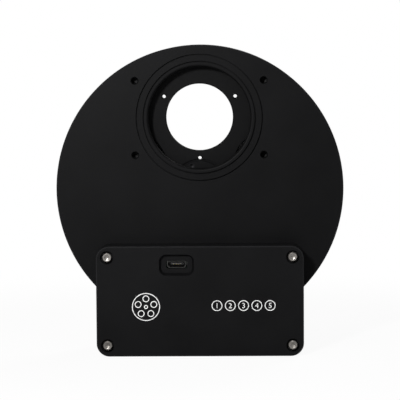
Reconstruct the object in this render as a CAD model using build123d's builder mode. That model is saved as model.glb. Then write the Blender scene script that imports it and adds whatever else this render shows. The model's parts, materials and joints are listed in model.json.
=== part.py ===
"""Motorised optical filter wheel with five seats, a round drum and an electronics box across its foot.

Millimetres. The origin is on the optical axis, in the front mounting face. +Y runs along the light path
to the back, +Z is up and +X is to the right as the front is looked at. The wheel stands on the flat
foot of its box. "Depth" is the distance behind the front face, so it is Y, and is negative in front of it.
"""

from build123d import *
from math import acos, atan2, cos, degrees, pi, radians, sin, sqrt, tan
import os

# ---- Carousel, gears and drum --------------------------------------------------------------------
wheel_offset = 28.7  # the wheel's axis lies this far below the optical axis
seat_count = 5
gear_module = 0.8
carousel_teeth = 126
pinion_teeth = 18
pressure_angle = radians(20)
backlash = 0.14
wheel_addendum = 0.75 * gear_module  # shortened, so that the small pinion isn't undercut
pinion_addendum = gear_module
dedendum = 1.25 * gear_module
carousel_thickness = 5.0
carousel_gap = 1.5  # from the front wall to the carousel's face
tooth_room = 1.2  # from the carousel's teeth to the drum's wall
rim_wall = 5.8
front_wall = 6.0
cavity_depth = 11.0
cover_thickness = 3.0
edge_chamfer = 0.5
fit = 0.02  # radial clearance of a part that is pressed or screwed in
running_fit = 0.05  # radial clearance of a part that turns

# ---- Filter seats --------------------------------------------------------------------------------
aperture_radius = 13.5
lip_depth = 0.8
filter_thread_radius = 13.93  # minor radius of the M28.5 x 0.6 filter thread
filter_seat_radius = 15.6  # takes a bare 31 mm filter
filter_seat_depth = 2.0
retainer_circle = 16.7
retainer_hole_radius = 0.72
retainer_count = 3
magnet_circle = 42.4
magnet_radius = 1.5
magnet_length = 2.0
home_magnet_step = 6.0  # degrees between the home magnet and its neighbour

# ---- Ports ---------------------------------------------------------------------------------------
port_thread_radius = 20.6  # minor radius of the M42 x 0.75 thread
insert_wall = 2.15  # outside the thread
insert_flange = 1.65  # from the insert's wall to the rim of its flange
insert_length = 5.0
insert_round = 0.9
ring_rim = 1.2  # from the flange's rim to the clamp ring's
ring_lip = 1.0
ring_depth = 2.0
seam_chamfer = 0.18
port_relief = 0.6  # round the inner end of the rear port
adapter_land = 4.4  # from the clamp ring's rim to the circle of the four tapped holes
adapter_angle = 30.0  # of these holes above and below the horizontal
adapter_hole_radius = 1.25  # M3, tapped
adapter_hole_depth = 4.5
adapter_mouth = 0.32

# ---- Electronics box and lid ---------------------------------------------------------------------
box_width = 83.0
box_height = 44.3
box_drop = 22.05  # from the wheel's axis down to the top of the box
box_corner = 5.2
box_wall = 3.0
partition = 2.5  # between the electronics and the carousel
lid_thickness = 3.0
lid_chamfer = 0.45
lid_screw_inset = 4.4
lid_boss_radius = 4.0
usb_x = -9.3
usb_drop = 7.5  # from the top of the lid to the middle of the socket
usb_recess = (14.0, 8.5)
usb_recess_corner = 3.0
usb_recess_depth = 1.5
usb_window = (8.4, 3.2)
usb_window_corner = 0.8

# ---- Screws: radius of the shank, then of the head, height of the head, length of the shank -------
m2_shank, m2_head, m2_head_height, m2_length = 1.0, 1.9, 2.0, 6.0
m2_low_head, m2_low_height = 1.9, 1.4
m2_key, m2_low_key, m25_key, m3_key = 0.9, 0.8, 0.94, 1.12  # half the hexagon's width over its corners
key_share = 0.55  # depth of a hexagon socket as a share of the head's height
counterbore_room = 0.77
m25_shank, m25_head, m25_length = 1.25, 2.35, 9.0
cover_screw_count = 6  # round the drum; two more hold the foot of the box
cover_screw_start = -18.0
cover_screw_step = 43.2
m16_shank, m16_head, m16_length = 0.8, 1.35, 3.6
m3_shank, m3_head, m3_head_height, m3_length = 1.5, 2.75, 1.5, 6.0
tapped_room = 1.0  # depth of a tapped hole past the end of its screw

# ---- Axle and ball bearing -----------------------------------------------------------------------
axle_radius = 4.0
axle_skin = 2.0  # left of the front wall in front of the axle's hole
axle_flange_radius = 5.0
bearing_radius = 8.0
bearing_width = 5.0
race_thickness = 1.1
ball_radius = 1.2
ball_count = 8
cage_thickness = 0.8
cage_width = 3.4
hub_shoulder = 1.5
hub_wall = 3.0
washer_radius = 5.0
washer_thickness = 0.6
cap_radius = 10.9
cap_thickness = 1.0
cap_screw_circle = 9.45
cap_screw_angle = 111.0
cap_screw_count = 3
cap_bore_room = 0.5  # round the bearing's inner race

# ---- Geared motor and pinion ---------------------------------------------------------------------
motor_radius = 10.0
motor_length = 11.8
motor_room = 0.4  # between the motor and the lid
motor_plate = 0.8
motor_offset = 6.0  # from the motor's middle to its shaft
motor_ear_reach = 13.5
motor_ear_radius = 3.0
motor_ear_room = 2.0
motor_screw_length = 2.7
shaft_radius = 1.5
shaft_sunk = 4.0
bushing_radius = 3.3
bushing_length = 1.6
pocket_room = 1.2
pinion_hub_radius = 4.2
pinion_hub_length = 3.0
terminal_size = (9.0, 4.0, 5.4)  # width, depth and height
terminal_inset = 0.3
wire_count = 5
wire_pitch = 0.9
wire_radius = 0.4
wire_bend = 2.1
wire_drop = 1.2
header_size = (5.2, 4.5)
header_over_wires = 1.3  # from the middle of the wires forwards to the header's face

# ---- Controller board ----------------------------------------------------------------------------
board_thickness = 1.6
board_margin = 1.0
board_hole_inset = 3.0
standoff_flats = 4.0
# each chip: place from the board's left and bottom edges, then width, height and thickness
board_chip_list = [(12.7, 20.4, 7.0, 7.0, 1.0), (26.1, 10.2, 5.0, 6.2, 1.5), (11.1, 7.3, 6.5, 3.5, 1.7)]
capacitor_place = (19.8, 19.0)
capacitor_pitch = 5.0
capacitor_radius = 2.0
capacitor_height = 3.0
capacitor_edge = 0.2
usb_size = (7.2, 2.5)
usb_length = 6.2
usb_sheet = 0.3
usb_mouth = 3.2  # from the lid's face back to the socket's mouth
usb_flare = 0.25
usb_lower_chamfer = 0.65
usb_base_depth = 1.25
usb_tongue = (4.4, 0.65)
usb_tongue_lift = 0.25
usb_tongue_sunk = 0.9  # behind the shell's mouth
usb_contact_count = 5
usb_contact_pitch = 0.65
usb_contact = (0.35, 0.12)
usb_contact_setback = 0.3  # behind the tongue's tip
hall_size = (4.1, 1.5, 3.0)
hall_lead = 0.45
hall_lead_pitch = 1.27

# ---- Worked-out sizes and places -----------------------------------------------------------------
carousel_pitch = gear_module * carousel_teeth / 2
pinion_pitch = gear_module * pinion_teeth / 2
centre_distance = carousel_pitch + pinion_pitch
carousel_tip = carousel_pitch + wheel_addendum
pinion_tip = pinion_pitch + pinion_addendum
cavity_radius = carousel_tip + tooth_room
drum_radius = cavity_radius + rim_wall
insert_radius = port_thread_radius + insert_wall
insert_flange_radius = insert_radius + insert_flange
port_ring_radius = insert_flange_radius + ring_rim
body_depth = front_wall + cavity_depth
total_depth = body_depth + cover_thickness
carousel_front = front_wall + carousel_gap
carousel_back = carousel_front + carousel_thickness
box_floor = front_wall - partition
motor_back = box_floor - motor_plate
lid_back = motor_back - motor_length - motor_room
lid_front = lid_back - lid_thickness
box_top = -wheel_offset - box_drop
box_bottom = box_top - box_height
box_middle = (box_top + box_bottom) / 2
inner_half_width = box_width / 2 - box_wall
inner_top = box_top - box_wall
inner_bottom = box_bottom + box_wall
pinion_x = inner_half_width - motor_ear_reach - motor_ear_radius - motor_ear_room
pinion_z = -wheel_offset - sqrt(centre_distance**2 - pinion_x**2)
motor_z = pinion_z + motor_offset
usb_z = box_top - usb_drop
board_front = lid_front + usb_mouth + usb_length
board_back = board_front + board_thickness
board_left = -(box_width / 2 - lid_screw_inset) + lid_boss_radius + board_margin / 2
board_right = pinion_x - motor_radius - 3 * board_margin
board_top = inner_top - board_margin
board_bottom = inner_bottom + board_margin
bearing_front = carousel_front
bearing_back = bearing_front + bearing_width
bearing_middle = (bearing_front + bearing_back) / 2
ball_circle = (axle_radius + bearing_radius) / 2

wheel_axis = Axis((0, 0, -wheel_offset), (0, 1, 0))
wheel_section = Plane.XY.offset(-wheel_offset)  # radius across, depth up the page
port_section = Plane.XY
wheel_centre = (0, -wheel_offset)
pinion_centre = (pinion_x, pinion_z)
seat_angles = [90 + 360 / seat_count * n for n in range(seat_count)]


def on_circle(centre, radius, angle):
    """Point on a circle, at an angle in degrees anticlockwise from the right, seen from the front."""
    return (centre[0] + radius * cos(radians(angle)), centre[1] + radius * sin(radians(angle)))


def four_corners(half_width, half_height, middle):
    """Corners of a rectangle centred on X = 0."""
    return [(side * half_width, middle + up * half_height) for side in (-1, 1) for up in (-1, 1)]


adapter_corner = on_circle((0, 0), port_ring_radius + adapter_land, adapter_angle)
adapter_spots = four_corners(*adapter_corner, 0)
lid_spots = four_corners(box_width / 2 - lid_screw_inset, box_height / 2 - lid_screw_inset, box_middle)
cover_screw_circle = cavity_radius + rim_wall / 2
cover_angles = [cover_screw_start + cover_screw_step * n for n in range(cover_screw_count)]
cover_spots = [on_circle(wheel_centre, cover_screw_circle, a) for a in cover_angles]
cover_spots += [(side * (box_width / 2 - box_corner), box_bottom + box_corner) for side in (-1, 1)]
motor_spots = [(pinion_x + side * motor_ear_reach, motor_z) for side in (-1, 1)]
board_spots = [
    (x, z)
    for x in (board_left + board_hole_inset, board_right - board_hole_inset)
    for z in (board_bottom + board_hole_inset, board_top - board_hole_inset)
]
cap_angles = [cap_screw_angle + 360 / cap_screw_count * n for n in range(cap_screw_count)]
cap_spots = [on_circle(wheel_centre, cap_screw_circle, a) for a in cap_angles]
magnet_angles = [a - 180 / seat_count for a in seat_angles]  # halfway between the seats
magnet_angles.append(magnet_angles[0] + home_magnet_step)
hall_z = -wheel_offset - magnet_circle

os.makedirs("parts", exist_ok=True)


# ---- Shared shapes -------------------------------------------------------------------------------
def at_depth(depth):
    """Plane parallel to the front face: X across, Z up. Extruding goes forwards."""
    return Plane.XZ.offset(-depth)


def keep(part, name):
    """Label a finished piece and write its STEP file."""
    part.label = name
    export_step(part, f"parts/{name}.step")


def band(inner, outer, start, end):
    """Section of a turned ring, between two radii and two depths, for a sketch that is revolved."""
    with Locations(((inner + outer) / 2, (start + end) / 2)):
        Rectangle(outer - inner, abs(end - start))


def drum_and_box():
    """Outline of the drum with the electronics box across its foot."""
    with Locations(wheel_centre):
        Circle(drum_radius)
    with Locations((0, box_middle)):
        RectangleRounded(box_width, box_height, box_corner)


def gear_points(teeth, addendum, phase):
    """Outline of a spur gear about (0, 0) with involute flanks, one tooth centred on angle phase."""
    pitch = gear_module * teeth / 2
    base = pitch * cos(pressure_angle)
    root = pitch - dedendum
    flank = [root, pitch, pitch + addendum]
    if base > root:
        flank = [root, base, pitch, pitch + addendum / 2, pitch + addendum]
    points = []
    for tooth in range(teeth):
        middle = radians(phase) + 2 * pi * tooth / teeth
        sides = []
        for radius in flank:
            lift = acos(min(1.0, base / radius))
            half = pi / (2 * teeth) - backlash / (4 * pitch)
            half += tan(pressure_angle) - pressure_angle - (tan(lift) - lift)
            sides.append((radius, half))
        points += [(r * cos(middle - half), r * sin(middle - half)) for r, half in sides]
        points += [(r * cos(middle + half), r * sin(middle + half)) for r, half in reversed(sides)]
    return points


def gear_face(teeth, addendum, phase, centre):
    """Gear outline as a face of the current sketch."""
    with Locations(centre):
        Polygon(*gear_points(teeth, addendum, phase), align=None)


def screws(spots, seat, head_radius, head_height, shank_radius, length, key):
    """Screws driven from the front, heads seated at a depth, with hexagon sockets of radius key."""
    with BuildPart() as group:
        with BuildSketch(at_depth(seat)):
            with Locations(*spots):
                Circle(head_radius)
        extrude(amount=head_height)
        with BuildSketch(at_depth(seat)):
            with Locations(*spots):
                Circle(shank_radius)
        extrude(amount=-length)
        with BuildSketch(at_depth(seat - head_height)):
            with Locations(*spots):
                RegularPolygon(key, 6)
        extrude(amount=-head_height * key_share, mode=Mode.SUBTRACT)
    return group.part


def clamp_ring(face, inward):
    """Flush ring that holds an insert by its flange. Inward is 1 at the front and -1 at the back."""
    step = face + inward * ring_lip
    end = face + inward * ring_depth
    with BuildPart() as ring:
        with BuildSketch(port_section):
            band(insert_radius + fit, port_ring_radius, face, step)
            band(insert_flange_radius + fit, port_ring_radius, step, end)
        revolve(axis=Axis.Y)
        outer_face = ring.faces().sort_by(Axis.Y)[0 if inward > 0 else -1]
        chamfer(outer_face.edges(), seam_chamfer)
    return ring.part


def thread_insert(face, inward):
    """Threaded port, flush with its clamp ring, with a rounded mouth."""
    step = face + inward * ring_lip
    end = face + inward * ring_depth
    with BuildPart() as insert:
        with BuildSketch(port_section):
            band(port_thread_radius, insert_radius, face, face + inward * insert_length)
            band(port_thread_radius, insert_flange_radius, step, end)
        revolve(axis=Axis.Y)
        outer_face = insert.faces().sort_by(Axis.Y)[0 if inward > 0 else -1]
        chamfer(outer_face.edges().sort_by(SortBy.RADIUS)[-1], seam_chamfer)
        outer_face = insert.faces().sort_by(Axis.Y)[0 if inward > 0 else -1]
        fillet(outer_face.edges().sort_by(SortBy.RADIUS)[0], insert_round)
    return insert.part


# ---- Housing: drum and box milled from one block -------------------------------------------------
with BuildPart() as housing:
    with BuildSketch(at_depth(0)):
        drum_and_box()
    extrude(amount=-body_depth)
    with BuildSketch(at_depth(0)):
        with Locations((0, box_middle)):
            RectangleRounded(box_width, box_height, box_corner)
    extrude(amount=-lid_back)
    circles = housing.edges().filter_by(GeomType.CIRCLE)
    drum_edge = circles.filter_by(lambda edge: abs(edge.radius - drum_radius) < fit)
    chamfer(drum_edge.group_by(Axis.Y)[0], edge_chamfer)
    # carousel cavity and pinion pocket, open at the back
    with BuildSketch(at_depth(body_depth)):
        with Locations(wheel_centre):
            Circle(cavity_radius)
        with Locations(pinion_centre):
            Circle(pinion_tip + pocket_room)
    extrude(amount=cavity_depth, mode=Mode.SUBTRACT)
    # relief in the drum's wall for the inner end of the rear port
    with BuildSketch(at_depth(body_depth)):
        Circle(insert_radius + port_relief)
    extrude(amount=insert_length - cover_thickness + port_relief, mode=Mode.SUBTRACT)
    # electronics compartment, open at the front, round the bosses of the lid's screws
    with BuildSketch(at_depth(lid_back)):
        with Locations((0, box_middle)):
            Rectangle(2 * inner_half_width, inner_top - inner_bottom)
        with Locations(*lid_spots):
            Circle(lid_boss_radius, mode=Mode.SUBTRACT)
    extrude(amount=lid_back - box_floor, mode=Mode.SUBTRACT)
    # front port: recess for the ring, then the bore behind its shoulder
    with BuildSketch(at_depth(0)):
        Circle(port_ring_radius + fit)
    extrude(amount=-ring_depth, mode=Mode.SUBTRACT)
    with BuildSketch(at_depth(0)):
        Circle(insert_radius + fit)
    extrude(amount=-front_wall, mode=Mode.SUBTRACT)
    recess_edge = housing.edges().filter_by(GeomType.CIRCLE).filter_by(
        lambda e: abs(e.radius - port_ring_radius - fit) < fit / 2
    )
    chamfer(recess_edge.group_by(Axis.Y)[0], seam_chamfer)
    # tapped holes for adapters, each with a chamfered mouth
    with BuildSketch(at_depth(0)):
        with Locations(*adapter_spots):
            Circle(adapter_hole_radius)
    extrude(amount=-adapter_hole_depth, mode=Mode.SUBTRACT)
    mouths = housing.edges().filter_by(GeomType.CIRCLE).filter_by(
        lambda e: abs(e.radius - adapter_hole_radius) < fit / 2 and abs(e.center().Y) < fit
    )
    chamfer(mouths, adapter_mouth)
    # tapped holes for the lid, the cover and the motor
    with BuildSketch(at_depth(lid_back)):
        with Locations(*lid_spots):
            Circle(m2_shank + fit)
    extrude(amount=-(m2_length + tapped_room), mode=Mode.SUBTRACT)
    with BuildSketch(at_depth(body_depth)):
        with Locations(*cover_spots):
            Circle(m25_shank + fit)
    extrude(amount=m25_length + tapped_room - cover_thickness, mode=Mode.SUBTRACT)
    with BuildSketch(at_depth(box_floor)):
        with Locations(*motor_spots):
            Circle(m2_shank + fit)
        with Locations(*board_spots):
            Circle(m2_shank + fit)
    extrude(amount=-(motor_screw_length - motor_plate + fit), mode=Mode.SUBTRACT)
    # way through the partition for the motor's bushing, and the axle's blind hole
    with BuildSketch(at_depth(box_floor)):
        with Locations(pinion_centre):
            Circle(bushing_radius + fit)
    extrude(amount=-partition, mode=Mode.SUBTRACT)
    with BuildSketch(at_depth(front_wall)):
        with Locations(wheel_centre):
            Circle(axle_radius + fit)
    extrude(amount=front_wall - axle_skin, mode=Mode.SUBTRACT)
keep(housing.part, "housing")

# ---- Rear cover and its countersunk screws -------------------------------------------------------
with BuildPart() as rear_cover:
    with BuildSketch(at_depth(body_depth)):
        drum_and_box()
    extrude(amount=-cover_thickness)
    chamfer(rear_cover.faces().sort_by(Axis.Y)[-1].edges(), edge_chamfer)
    with BuildSketch(at_depth(total_depth)):
        Circle(port_ring_radius + fit)
    extrude(amount=ring_depth, mode=Mode.SUBTRACT)
    with BuildSketch(at_depth(total_depth)):
        Circle(insert_radius + fit)
    extrude(amount=cover_thickness, mode=Mode.SUBTRACT)
    recess_edge = rear_cover.edges().filter_by(GeomType.CIRCLE).filter_by(
        lambda e: abs(e.radius - port_ring_radius - fit) < fit / 2
    )
    chamfer(recess_edge.group_by(Axis.Y)[-1], seam_chamfer)
    with Locations(*[Location((x, total_depth, z), (-90, 0, 0)) for x, z in cover_spots]):
        CounterSinkHole(m25_shank + fit, m25_head + fit, cover_thickness, 90)
keep(rear_cover.part, "rear_cover")

with BuildPart() as cover_screws:
    with Locations(*[Location((x, total_depth, z), (90, 0, 0)) for x, z in cover_spots]):
        Cone(m25_head, m25_shank, m25_head - m25_shank, align=(Align.CENTER, Align.CENTER, Align.MIN))
        Cylinder(m25_shank, m25_length, align=(Align.CENTER, Align.CENTER, Align.MIN))
        with BuildSketch():
            RegularPolygon(m25_key, 6)
    extrude(amount=m25_head * key_share, mode=Mode.SUBTRACT)
keep(cover_screws.part, "cover_screws")

# ---- Port rings and threaded inserts, front and back ---------------------------------------------
keep(clamp_ring(0, 1), "front_port_ring")
keep(thread_insert(0, 1), "front_thread_insert")
keep(clamp_ring(total_depth, -1), "rear_port_ring")
keep(thread_insert(total_depth, -1), "rear_thread_insert")

# ---- Lid of the electronics box ------------------------------------------------------------------
with BuildPart() as electronics_lid:
    with BuildSketch(at_depth(lid_back)):
        with Locations((0, box_middle)):
            RectangleRounded(box_width, box_height, box_corner)
    extrude(amount=lid_thickness)
    chamfer(electronics_lid.faces().sort_by(Axis.Y)[0].edges(), lid_chamfer)
    with BuildSketch(at_depth(lid_front)):
        with Locations(*lid_spots):
            Circle(m2_head + counterbore_room)
    extrude(amount=-m2_head_height, mode=Mode.SUBTRACT)
    with BuildSketch(at_depth(lid_front)):
        with Locations((usb_x, usb_z)):
            RectangleRounded(*usb_recess, usb_recess_corner)
    extrude(amount=-usb_recess_depth, mode=Mode.SUBTRACT)
    with BuildSketch(at_depth(lid_front)):
        with Locations((usb_x, usb_z)):
            RectangleRounded(*usb_window, usb_window_corner)
        with Locations(*lid_spots):
            Circle(m2_shank + fit)
    extrude(amount=-lid_thickness, mode=Mode.SUBTRACT)
keep(electronics_lid.part, "electronics_lid")

lid_screw_seat = lid_front + m2_head_height
lid_screws = screws(lid_spots, lid_screw_seat, m2_head, m2_head_height, m2_shank, m2_length, m2_key)
keep(lid_screws, "lid_screws")

# ---- Carousel: five filter seats inside a toothed rim --------------------------------------------
hub_radius = bearing_radius + hub_wall
hub_back = bearing_back + hub_shoulder
seat_centres = [on_circle(wheel_centre, wheel_offset, a) for a in seat_angles]
retainer_spots = [
    on_circle(centre, retainer_circle, angle + 180 + 360 / retainer_count * n)
    for centre, angle in zip(seat_centres, seat_angles)
    for n in range(retainer_count)
]
magnet_spots = [on_circle(wheel_centre, magnet_circle, a) for a in magnet_angles]

with BuildPart() as carousel:
    with BuildSketch(at_depth(carousel_front)):
        gear_face(carousel_teeth, wheel_addendum, 90, wheel_centre)
    extrude(amount=-carousel_thickness)
    with BuildSketch(at_depth(carousel_front)):
        with Locations(wheel_centre):
            Circle(hub_radius)
    extrude(amount=carousel_front - hub_back)
    with BuildSketch(at_depth(carousel_front)):
        with Locations(*seat_centres):
            Circle(aperture_radius)
        with Locations(*retainer_spots):
            Circle(retainer_hole_radius)
    extrude(amount=-carousel_thickness, mode=Mode.SUBTRACT)
    with BuildSketch(at_depth(carousel_front + lip_depth)):
        with Locations(*seat_centres):
            Circle(filter_thread_radius)
    extrude(amount=lip_depth - carousel_thickness, mode=Mode.SUBTRACT)
    with BuildSketch(at_depth(carousel_back)):
        with Locations(*seat_centres):
            Circle(filter_seat_radius)
    extrude(amount=filter_seat_depth, mode=Mode.SUBTRACT)
    with BuildSketch(at_depth(carousel_front)):
        with Locations(*magnet_spots):
            Circle(magnet_radius + fit)
    extrude(amount=-magnet_length, mode=Mode.SUBTRACT)
    with BuildSketch(at_depth(carousel_front)):
        with Locations(wheel_centre):
            Circle(bearing_radius + fit)
    extrude(amount=-bearing_width, mode=Mode.SUBTRACT)
    with BuildSketch(at_depth(hub_back)):
        with Locations(wheel_centre):
            Circle(bearing_radius - race_thickness)
    extrude(amount=hub_shoulder, mode=Mode.SUBTRACT)
    with BuildSketch(at_depth(carousel_front)):
        with Locations(*cap_spots):
            Circle(m16_shank + fit)
    extrude(amount=-(m16_length - cap_thickness + fit), mode=Mode.SUBTRACT)
keep(carousel.part, "carousel")

with BuildPart() as index_magnets:
    with BuildSketch(at_depth(carousel_front)):
        with Locations(*magnet_spots):
            Circle(magnet_radius)
    extrude(amount=-magnet_length)
keep(index_magnets.part, "index_magnets")

# ---- Hub: axle, ball bearing and cap -------------------------------------------------------------
with BuildPart() as axle:
    with BuildSketch(wheel_section):
        band(0, axle_radius, axle_skin + fit, bearing_back)
        band(0, axle_flange_radius, front_wall, bearing_front)
    revolve(axis=wheel_axis)
    with BuildSketch(at_depth(bearing_back)):
        with Locations(wheel_centre):
            Circle(m3_shank + fit)
    extrude(amount=m3_length, mode=Mode.SUBTRACT)
keep(axle.part, "axle")

with BuildPart() as axle_washer:
    with BuildSketch(wheel_section):
        band(m3_shank + fit, washer_radius, bearing_back, bearing_back + washer_thickness)
    revolve(axis=wheel_axis)
keep(axle_washer.part, "axle_washer")

with BuildPart() as axle_screw:
    with BuildSketch(wheel_section):
        washer_back = bearing_back + washer_thickness
        band(0, m3_head, washer_back, washer_back + m3_head_height)
        band(0, m3_shank, washer_back - m3_length + tapped_room, washer_back)
    revolve(axis=wheel_axis)
    with BuildSketch(at_depth(washer_back + m3_head_height)):
        with Locations(wheel_centre):
            RegularPolygon(m3_key, 6)
    extrude(amount=m3_head_height * key_share, mode=Mode.SUBTRACT)
keep(axle_screw.part, "axle_screw")

with BuildPart() as bearing_inner_race:
    with BuildSketch(wheel_section):
        band(axle_radius + fit, axle_radius + race_thickness, bearing_front, bearing_back)
        with Locations((ball_circle, bearing_middle)):
            Circle(ball_radius + running_fit, mode=Mode.SUBTRACT)
    revolve(axis=wheel_axis)
keep(bearing_inner_race.part, "bearing_inner_race")

with BuildPart() as bearing_outer_race:
    with BuildSketch(wheel_section):
        band(bearing_radius - race_thickness, bearing_radius, bearing_front, bearing_back)
        with Locations((ball_circle, bearing_middle)):
            Circle(ball_radius + running_fit, mode=Mode.SUBTRACT)
    revolve(axis=wheel_axis)
keep(bearing_outer_race.part, "bearing_outer_race")

ball_angles = [360 / ball_count * n for n in range(ball_count)]
ball_centres = [on_circle(wheel_centre, ball_circle, a) for a in ball_angles]
ball_spots = [(x, bearing_middle, z) for x, z in ball_centres]
with BuildPart() as bearing_balls:
    with Locations(*ball_spots):
        Sphere(ball_radius)
keep(bearing_balls.part, "bearing_balls")

with BuildPart() as bearing_cage:
    with BuildSketch(wheel_section):
        band(
            ball_circle - cage_thickness / 2,
            ball_circle + cage_thickness / 2,
            bearing_middle - cage_width / 2,
            bearing_middle + cage_width / 2,
        )
    revolve(axis=wheel_axis)
    ways_out = [(cos(radians(a)), 0, sin(radians(a))) for a in ball_angles]
    pockets = [Plane(origin=spot, z_dir=way) for spot, way in zip(ball_spots, ways_out)]
    with Locations(*pockets):
        Cylinder(ball_radius + running_fit, 3 * cage_thickness, mode=Mode.SUBTRACT)
keep(bearing_cage.part, "bearing_cage")

with BuildPart() as hub_cap:
    with BuildSketch(at_depth(carousel_front)):
        with Locations(wheel_centre):
            Circle(cap_radius)
            Circle(axle_radius + race_thickness + cap_bore_room, mode=Mode.SUBTRACT)
    extrude(amount=cap_thickness)
    chamfer(hub_cap.faces().sort_by(Axis.Y)[0].edges(), seam_chamfer)
    with Locations(*[Location((x, carousel_front - cap_thickness, z), (90, 0, 0)) for x, z in cap_spots]):
        CounterSinkHole(m16_shank + fit, m16_head + fit, cap_thickness, 90)
keep(hub_cap.part, "hub_cap")

with BuildPart() as hub_cap_screws:
    with Locations(*[Location((x, carousel_front - cap_thickness, z), (-90, 0, 0)) for x, z in cap_spots]):
        Cone(m16_head, m16_shank, m16_head - m16_shank, align=(Align.CENTER, Align.CENTER, Align.MIN))
        Cylinder(m16_shank, m16_length, align=(Align.CENTER, Align.CENTER, Align.MIN))
keep(hub_cap_screws.part, "hub_cap_screws")

# ---- Pinion on the motor's shaft, in mesh with the carousel at rest ------------------------------
line_of_centres = degrees(atan2(pinion_z + wheel_offset, pinion_x))
tooth_lag = (line_of_centres - 90) % (360 / carousel_teeth)
gap_angle = line_of_centres + 180 + tooth_lag * carousel_teeth / pinion_teeth
pinion_hub_back = carousel_back + pinion_hub_length
set_screw_depth = carousel_back + pinion_hub_length / 2

with BuildPart() as pinion:
    with BuildSketch(at_depth(carousel_front)):
        gear_face(pinion_teeth, pinion_addendum, gap_angle + 180 / pinion_teeth, pinion_centre)
    extrude(amount=-carousel_thickness)
    with BuildSketch(at_depth(carousel_back)):
        with Locations(pinion_centre):
            Circle(pinion_hub_radius)
    extrude(amount=-pinion_hub_length)
    with BuildSketch(at_depth(carousel_front)):
        with Locations(pinion_centre):
            Circle(shaft_radius + fit)
    extrude(amount=carousel_front - pinion_hub_back, mode=Mode.SUBTRACT)
    with BuildSketch(Plane.XY.offset(pinion_z)):
        with Locations((pinion_x, set_screw_depth)):
            Circle(m2_shank + fit)
    extrude(amount=-pinion_hub_radius, mode=Mode.SUBTRACT)
keep(pinion.part, "pinion")

with BuildPart() as pinion_set_screw:
    with BuildSketch(Plane.XY.offset(pinion_z - shaft_radius - fit)):
        with Locations((pinion_x, set_screw_depth)):
            Circle(m2_shank)
    extrude(amount=-(pinion_hub_radius - shaft_radius - 2 * running_fit))
keep(pinion_set_screw.part, "pinion_set_screw")

with BuildPart() as motor_shaft:
    with BuildSketch(at_depth(pinion_hub_back)):
        with Locations(pinion_centre):
            Circle(shaft_radius)
    extrude(amount=pinion_hub_back - motor_back + shaft_sunk - running_fit)
    chamfer(motor_shaft.faces().sort_by(Axis.Y)[-1].edges(), seam_chamfer)
keep(motor_shaft.part, "motor_shaft")

# ---- Geared stepper motor ------------------------------------------------------------------------
with BuildPart() as motor_can:
    with BuildSketch(at_depth(motor_back)):
        with Locations((pinion_x, motor_z)):
            Circle(motor_radius)
    extrude(amount=motor_length)
    fillet(motor_can.faces().sort_by(Axis.Y)[0].edges(), edge_chamfer)
    with BuildSketch(at_depth(motor_back)):
        with Locations(pinion_centre):
            Circle(shaft_radius + running_fit)
    extrude(amount=shaft_sunk, mode=Mode.SUBTRACT)
keep(motor_can.part, "motor_can")

with BuildPart() as motor_mounting_plate:
    with BuildSketch(at_depth(box_floor)):
        with Locations((pinion_x, motor_z)):
            Circle(motor_radius)
            SlotCenterToCenter(2 * motor_ear_reach, 2 * motor_ear_radius)
        with Locations(pinion_centre):
            Circle(bushing_radius + fit, mode=Mode.SUBTRACT)
        with Locations(*motor_spots):
            Circle(m2_shank + fit, mode=Mode.SUBTRACT)
    extrude(amount=motor_plate)
keep(motor_mounting_plate.part, "motor_mounting_plate")

with BuildPart() as motor_bushing:
    with BuildSketch(at_depth(motor_back)):
        with Locations(pinion_centre):
            Circle(bushing_radius)
            Circle(shaft_radius + running_fit, mode=Mode.SUBTRACT)
    extrude(amount=-(motor_plate + bushing_length))
keep(motor_bushing.part, "motor_bushing")

motor_screws = screws(
    motor_spots, motor_back, m2_low_head, m2_low_height, m2_shank, motor_screw_length, m2_low_key
)
keep(motor_screws, "motor_screws")

terminal_bottom = motor_z + sqrt(motor_radius**2 - (terminal_size[0] / 2) ** 2) - terminal_inset
terminal_front = motor_back - motor_length + terminal_inset
terminal_top = terminal_bottom + terminal_size[2]
with BuildPart() as motor_terminal_cover:
    with BuildSketch(at_depth(terminal_front)):
        with Locations((pinion_x, (terminal_bottom + terminal_top) / 2)):
            Rectangle(terminal_size[0], terminal_size[2])
        with Locations((pinion_x, motor_z)):
            Circle(motor_radius + fit, mode=Mode.SUBTRACT)
    extrude(amount=-terminal_size[1])
keep(motor_terminal_cover.part, "motor_terminal_cover")

wire_plane = terminal_front + terminal_size[1] / 2
bend_x = board_right + wire_drop
bend_z = terminal_top - wire_pitch - wire_bend - wire_pitch * (wire_count - 1) + wire_radius
header_top = bend_z - wire_drop
terminal_side = pinion_x - terminal_size[0] / 2
wire_bends = [wire_bend + wire_pitch * n for n in range(wire_count)]
with BuildPart() as motor_cable:
    for bend in wire_bends:
        with BuildLine(at_depth(wire_plane)) as wire:
            corner = (bend_x - bend, bend_z + bend)
            FilletPolyline((terminal_side, bend_z + bend), corner, (bend_x - bend, header_top), radius=bend)
        with BuildSketch(Plane(origin=wire.line @ 0, z_dir=wire.line % 0)):
            Circle(wire_radius)
        sweep(path=wire.line)
keep(motor_cable.part, "motor_cable")

header_x = bend_x - sum(wire_bends) / wire_count
with BuildPart() as motor_header:
    with BuildSketch(at_depth(board_front)):
        with Locations((header_x, header_top - header_size[1] / 2)):
            Rectangle(*header_size)
    extrude(amount=board_front - wire_plane + header_over_wires)
keep(motor_header.part, "motor_header")

# ---- Controller board on standoffs ---------------------------------------------------------------
board_width = board_right - board_left
board_height = board_top - board_bottom
board_centre = ((board_left + board_right) / 2, (board_top + board_bottom) / 2)
with BuildPart() as controller_board:
    with BuildSketch(at_depth(board_front)):
        with Locations(board_centre):
            RectangleRounded(board_width, board_height, board_margin)
        with Locations(*board_spots):
            Circle(m2_shank + fit, mode=Mode.SUBTRACT)
    extrude(amount=-board_thickness)
keep(controller_board.part, "controller_board")

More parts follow.
